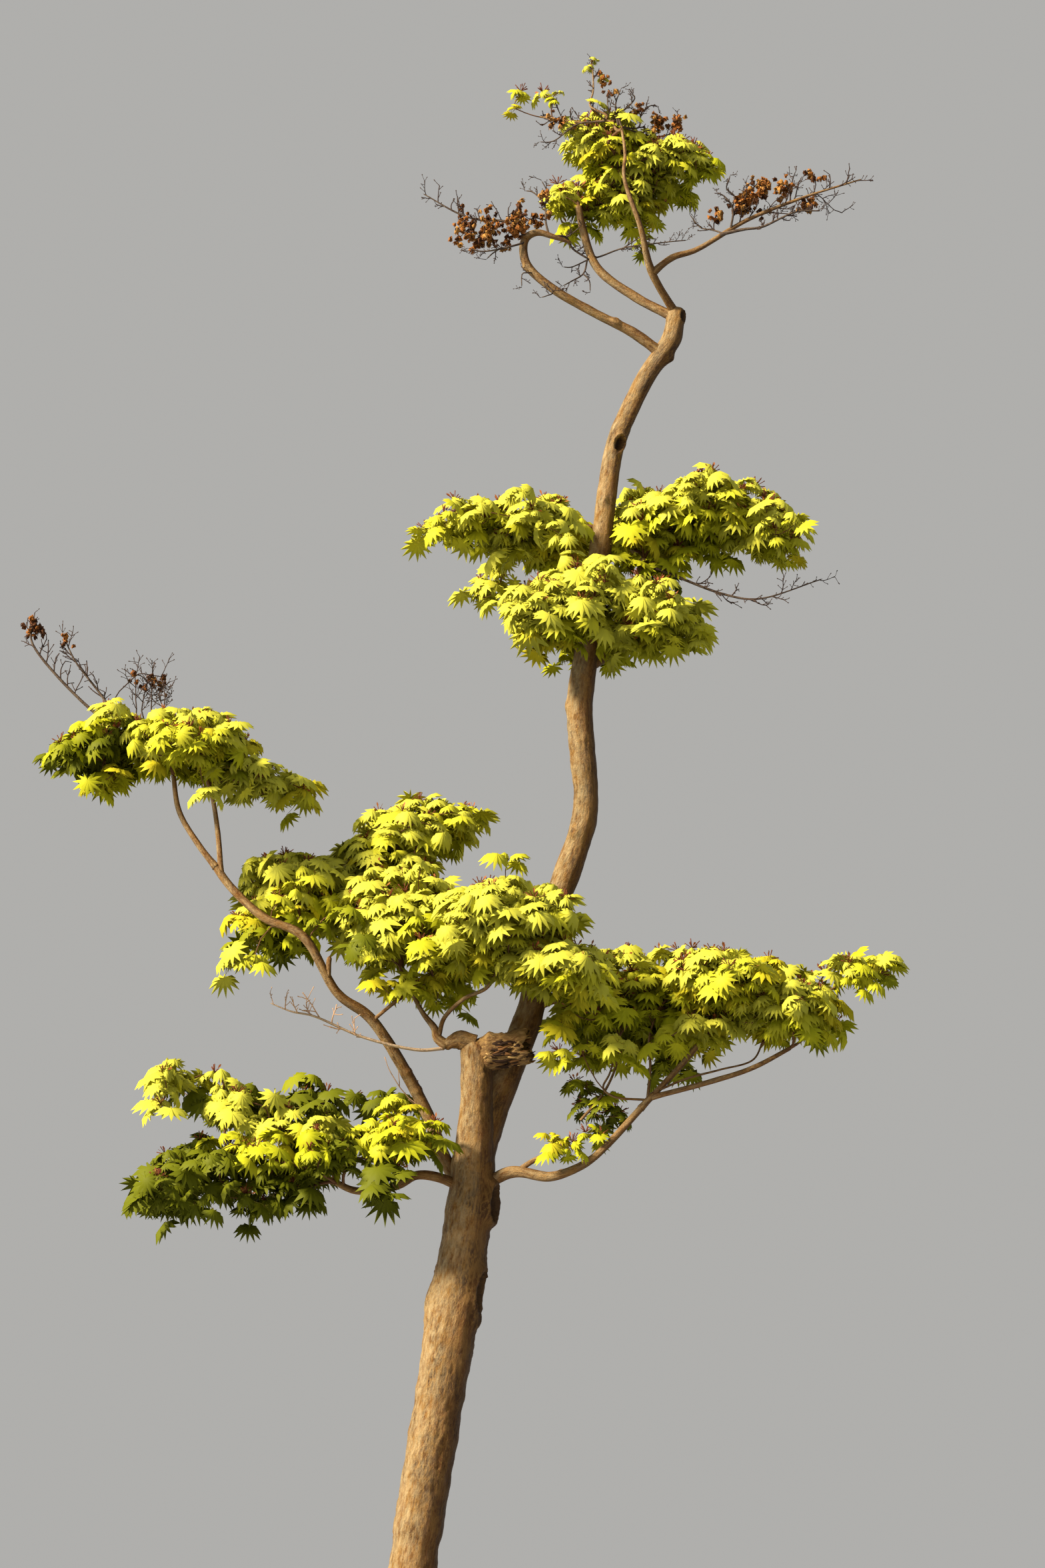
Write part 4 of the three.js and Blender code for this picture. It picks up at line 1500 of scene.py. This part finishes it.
tuft_finish = plain_material("red_tuft", (0.165, 0.042, 0.014), roughness=0.7)
wing_finish = plain_material("fruit_wing", (0.36, 0.110, 0.030), roughness=0.6)


def fan_out(axes, count, span):
    """Directions that fan out from the axes, count for each, in one list."""
    around = rng.uniform(0, 2 * math.pi, (len(axes), count))
    helper = unit(np.cross(axes, unit(rng.normal(0, 1, axes.shape))))
    out = turned(around, helper[:, None], np.cross(axes, helper)[:, None])
    lean = rng.uniform(*span, (len(axes), count))
    return unit(turned(lean, axes[:, None], out)).reshape(-1, 3)


def tuft_parts(places, axes):
    spikes = fan_out(axes, TUFT_SPIKES, TUFT_FAN)
    foot = np.repeat(places, TUFT_SPIKES, axis=0)
    reach = rng.uniform(*TUFT_REACH, (len(foot), 1))
    spike_lines = np.stack([foot, foot + spikes * reach], axis=1)
    points, faces = tubes(spike_lines, np.tile(TUFT_RADII, (len(foot), 1)), STALK_SIDES)
    wings = fan_out(axes, WING["count"], WING_FAN)
    root = np.repeat(places, WING["count"], axis=0) + wings * TUFT_REACH[0]
    side = unit(np.cross(wings, unit(rng.normal(0, 1, wings.shape)))) * WING["width"] / 2
    middle = root + wings * WING["length"] * WING["widest"]
    blade = np.stack([root, middle + side, root + wings * WING["length"], middle - side], axis=1)
    wing_points, wing_faces = join_copies(blade, np.array([(0, 1, 2), (0, 2, 3)]))
    return [(points, faces, 0), (wing_points, wing_faces, 1)]


lucky = rng.random(len(targets))
axes = unit(TUFT_PULL * heading_of + UP)
for tier in TIERS:
    mine = in_tier(tier) & (lucky < TIER_TABLE[tier][2]) & (half_of > TUFT_LEAST)
    parts = tuft_parts(targets[mine] + axes[mine] * TUFT_LIFT, axes[mine])
    settle(piece_from("tufts_" + tier, parts), "fruit", [tuft_finish, wing_finish])
    print(tier, int(mine.sum()), "tufts")

# %% [markdown]
# Dead wood. Some limbs died back and carry only bare shoots: thin, forked in opposite pairs, each
# ending in a bud. A shoot wavers as it goes on, and its side shoots are made by the same rule,
# shorter and thinner.

# %% Bare shoots
SHOOT_STEPS = 5
SHOOT_SIDES = 4
SHOOT_RADIUS = 0.0018
BUD_RADIUS = 0.0014
SIDE_ANGLE = (math.radians(32), math.radians(58))
SIDE_LENGTH = (0.28, 0.52)
SIDE_CHANCE = 0.60
WAVER = 0.14
RISING = 0.06  # how much a shoot turns upwards at each step
THINNER = {"tip": 0.6, "side": 0.66, "carrier": 0.8}  # girth, as a share of what it was
SIDE_TURN = 0.4  # how much the side shoots' plane wanders
FORWARD = 0.75  # how much a shoot leans towards its limb's tip
REACH_LUCK = (0.65, 1.15)
# limb, the shares of its length between which shoots leave it, how many, reach, order of forking,
# and lift
DARK_PLACES = [
    ("crown_right_bough", 0.50, 0.98, 13, 0.058, 1, 0.55),
    ("crown_right_bough", 0.45, 0.80, 4, 0.085, 2, 0.10),
    ("crown_dead_bough", 0.15, 0.98, 14, 0.042, 1, 0.35),
    ("crown_side_twig", 0.25, 0.95, 8, 0.048, 1, 0.30),
    ("top_twig", 0.30, 0.95, 7, 0.030, 1, 0.5),
    ("left_dead_twig", 0.45, 0.98, 9, 0.048, 1, 0.7),
    ("left_dead_fork", 0.30, 0.98, 10, 0.052, 1, 0.7),
    ("middle_dead_twig", 0.30, 0.98, 14, 0.048, 1, -0.10),
]
PALE_PLACES = [
    ("pale_dead_twig", 0.45, 0.98, 9, 0.042, 1, 0.7),
    ("pale_dead_twig", 0.72, 0.78, 1, 0.095, 1, 1.6),
    ("left_bough", 0.22, 0.26, 1, 0.120, 1, 1.2),
]
# on the small dead limbs: one for each stretch of this length, and the rest as above
SMALL_EVERY = 0.020
SMALL_FROM, SMALL_TO = 0.35, 1.0
SMALL_REACH, SMALL_ORDER, SMALL_LIFT = 0.024, 1, 0.25
# a row of upright shoots over the far left tier
FAR_LEFT_FROM, FAR_LEFT_TO = (-578, -60, 3390), (-500, -60, 3395)
FAR_LEFT_COUNT, FAR_LEFT_REACH, FAR_LEFT_LEAN, FAR_LEFT_ORDER = 5, 0.110, 0.3, 2

dark_shoot_finish = plain_material("dead_shoot", (0.066, 0.041, 0.034), roughness=0.8)
pale_shoot_finish = plain_material("bleached_shoot", (0.58, 0.36, 0.22), roughness=0.8)


def bare_shoot(start, heading, reach, girth, order, shoots):
    """A dead shoot with its side shoots, each a line of places and radii, added to shoots."""
    places = [start]
    for _ in range(SHOOT_STEPS - 1):
        heading = unit(heading + rng.normal(0, WAVER, 3) + RISING * UP)
        places.append(places[-1] + heading * reach / (SHOOT_STEPS - 1))
    girths = np.linspace(girth, girth * THINNER["tip"], SHOOT_STEPS)
    girths[-1] = BUD_RADIUS
    shoots.append((np.array(places), girths))
    if order == 0:
        return
    side = unit(np.cross(heading, rng.normal(0, 1, 3)))
    for step in range(1, SHOOT_STEPS):
        for sign in (1, -1):
            angle = rng.uniform(*SIDE_ANGLE)
            share = rng.uniform(*SIDE_LENGTH)
            if rng.random() < SIDE_CHANCE:
                out = heading * math.cos(angle) + side * sign * math.sin(angle)
                thin = girth * THINNER["side"]
                bare_shoot(places[step], out, reach * share, thin, order - 1, shoots)
        side = unit(np.cross(heading, side) + SIDE_TURN * rng.normal(0, 1, 3))


def shoots_on(name, first, last, count, reach, order, lift, shoots):
    """Shoots that leave a limb on all sides, leaning towards its tip."""
    line = limbs[name]["line"]
    heading = unit(np.gradient(line, axis=0))
    for share in np.linspace(first, last, count):
        k = int(share * (len(line) - 1))
        out = unit(np.cross(heading[k], rng.normal(0, 1, 3)))
        away = unit(FORWARD * heading[k] + out + lift * UP)
        girth = min(SHOOT_RADIUS, limbs[name]["radii"][k] * THINNER["carrier"])
        bare_shoot(line[k], away, reach * rng.uniform(*REACH_LUCK), girth, order, shoots)


dark_shoots, pale_shoots = [], []
for place in DARK_PLACES:
    shoots_on(*place, dark_shoots)
for place in PALE_PLACES:
    shoots_on(*place, pale_shoots)
for name in SMALL_DEAD:
    count = max(2, int(limbs[name]["run"][-1] / SMALL_EVERY))
    span = (name, SMALL_FROM, SMALL_TO, count)
    shoots_on(*span, SMALL_REACH, SMALL_ORDER, SMALL_LIFT, dark_shoots)
far_left_ends = []
for start in np.linspace(FAR_LEFT_FROM, FAR_LEFT_TO, FAR_LEFT_COUNT):
    heading = unit(np.array([*rng.normal(0, FAR_LEFT_LEAN, 2), 1]))
    own = []
    bare_shoot(start * MM, heading, FAR_LEFT_REACH, SHOOT_RADIUS, FAR_LEFT_ORDER, own)
    far_left_ends.append(own[0][0][-1])
    dark_shoots += own
print(len(dark_shoots), "dark and", len(pale_shoots), "bleached shoots")

# %% [markdown]
# Dead leaves that never fell hang in the crown and on the dead twigs at the left: brown, curled
# like closed parasols, in clumps of a few. Each clump is set along a band or round a spot, and
# thin twigs of the same branching rule carry it.

# %% Places of the dead leaves
# the middle line of a band of clumps, its spread across and in depth, and how many clumps it has
DEAD_BANDS = {
    "dead_left": [
        ([(196, -40, 4656), (258, -40, 4622), (330, -40, 4648), (398, -38, 4680)], 34, 46, 38),
        ([(405, -40, 4724)], 8, 12, 2),
    ],
    "dead_right": [
        ([(898, -20, 4716), (932, -20, 4738), (962, -20, 4762)], 21, 34, 26),
        ([(1007, -20, 4757)], 12, 18, 5),
        ([(1061, -20, 4712)], 9, 12, 4),
        ([(1076, -20, 4784)], 7, 12, 2),
        ([(849, -20, 4694), (836, -20, 4672)], 6, 10, 3),
        ([(892, -20, 4700)], 6, 10, 2),
    ],
    "dead_top": [
        ([(644, -20, 4960)], 7, 12, 2),
        ([(695, -10, 4937)], 11, 16, 5),
        ([(743, 0, 4930)], 9, 12, 3),
        ([(577, -60, 4980)], 5, 6, 1),
        ([(555, -30, 5051)], 5, 5, 1),
        ([(433, -60, 4910), (462, -60, 4913)], 6, 10, 3),
    ],
    "far_left": [
        ([(-836, -30, 3636), (-822, -30, 3622)], 6, 8, 5),
        ([(-764, -10, 3600)], 3, 3, 1),
    ],
}
DEAD_CARRIERS = [
    "crown_right_bough", "crown_dead_bough", "crown_leader", "crown_side_twig",
    "crown_left_bough", "left_dead_twig", "left_dead_fork", "top_twig", *SMALL_DEAD,
]
CLUSTERED = 0.6  # how closely clumps keep to the middle line of their band


def clump_places(points, spread, deep, count):
    """Random places round a line through the points, all in millimetres, as metres."""
    points = np.array(points, dtype=float)
    share = rng.uniform(0, len(points) - 1, count)
    line = np.stack([np.interp(share, range(len(points)), points[:, k]) for k in range(3)], axis=1)
    return (line + rng.normal(0, 1, (count, 3)) * np.array([spread, deep, spread]) * CLUSTERED) * MM


dead_places = {}
for name, bands in DEAD_BANDS.items():
    dead_places[name] = np.vstack([clump_places(*band) for band in bands])
dead_places["far_left"] = np.vstack([dead_places["far_left"], far_left_ends])
dead_tree = grow(np.vstack(list(dead_places.values())), *limb_starts(DEAD_CARRIERS))
print({name: len(places) for name, places in dead_places.items()}, "clumps")

# %% [markdown]
# A dead leaf is the living leaf's shape, bent down much further and crumpled by moving each of
# its corners a little at random.

# %% Dead leaves
DEAD_HALF = 0.0185
DEAD_SLOPE, DEAD_CURL = 0.5, 2.0
CRUMPLE = 0.085
LEAVES_PER_CLUMP = 6
CLUMP_SPREAD = 0.0090
DEAD_TINTS = {
    "dead_leaf_rust": (0.350, 0.125, 0.022),
    "dead_leaf_tan": (0.470, 0.230, 0.055),
    "dead_leaf_dark": (0.110, 0.040, 0.014),
}
TINT_CHANCE = (0.50, 0.28, 0.22)
FAR_LEFT_TINT_CHANCE = (0.35, 0.05, 0.60)  # at the far left, with more of the dark tint
DEAD_LEAN = 0.55
DEAD_SIZES = (0.7, 1.2)
DEAD_TWIG_TIP = TWIG_TIP * 0.9
DEAD_ROUGHNESS = 0.75
dead_finishes = [plain_material(name, colour, DEAD_ROUGHNESS) for name, colour in DEAD_TINTS.items()]
dead_corners, dead_faces = leaf_shape(DEAD_SLOPE, DEAD_CURL)


def dead_clumps(places, chance):
    """Curled leaves hanging round each place: corners, faces and the number of each face's tint."""
    count = len(places) * LEAVES_PER_CLUMP
    top = unit(UP + rng.normal(0, DEAD_LEAN, (count, 3)))
    side = unit(np.cross(top, unit(rng.normal(0, 1, (count, 3)))))
    axes = np.stack([np.cross(side, top), side, top], axis=1)
    size = DEAD_HALF * rng.uniform(*DEAD_SIZES, (count, 1, 1))
    corners = dead_corners[None] + rng.normal(0, CRUMPLE, (count, *dead_corners.shape))
    middle = np.repeat(places, LEAVES_PER_CLUMP, axis=0) + rng.normal(0, CLUMP_SPREAD, (count, 3))
    points, faces = join_copies(middle[:, None] + size * (corners @ axes), dead_faces)
    return points, faces, np.repeat(rng.choice(len(DEAD_TINTS), count, p=chance), len(dead_faces))


for name, places in dead_places.items():
    nodes = [name] if name.startswith("dead") else []
    piece_name = "dead_leaves_" + name.replace("dead_", "")
    clumps = dead_clumps(places, TINT_CHANCE if nodes else FAR_LEFT_TINT_CHANCE)
    settle(piece_from(piece_name, [clumps]), "dead_leaf", dead_finishes, *nodes)

dark = tubes(*(np.array(part) for part in zip(*dark_shoots)), SHOOT_SIDES)
pale = tubes(*(np.array(part) for part in zip(*pale_shoots)), SHOOT_SIDES)
carriers = tubes(twig_lines(dead_tree), twig_radii(dead_tree, DEAD_TWIG_TIP), SHOOT_SIDES)
bare_shoots = piece_from("bare_shoots", [(*dark, 0), (*carriers, 0)])
settle(bare_shoots, "dead_twig", [dark_shoot_finish])
bleached_shoots = piece_from("bleached_shoots", [(*pale, 0)])
settle(bleached_shoots, "dead_twig", [pale_shoot_finish])
print("bare shoots have", sum(len(part[1]) for part in (dark, carriers, pale)), "triangles")
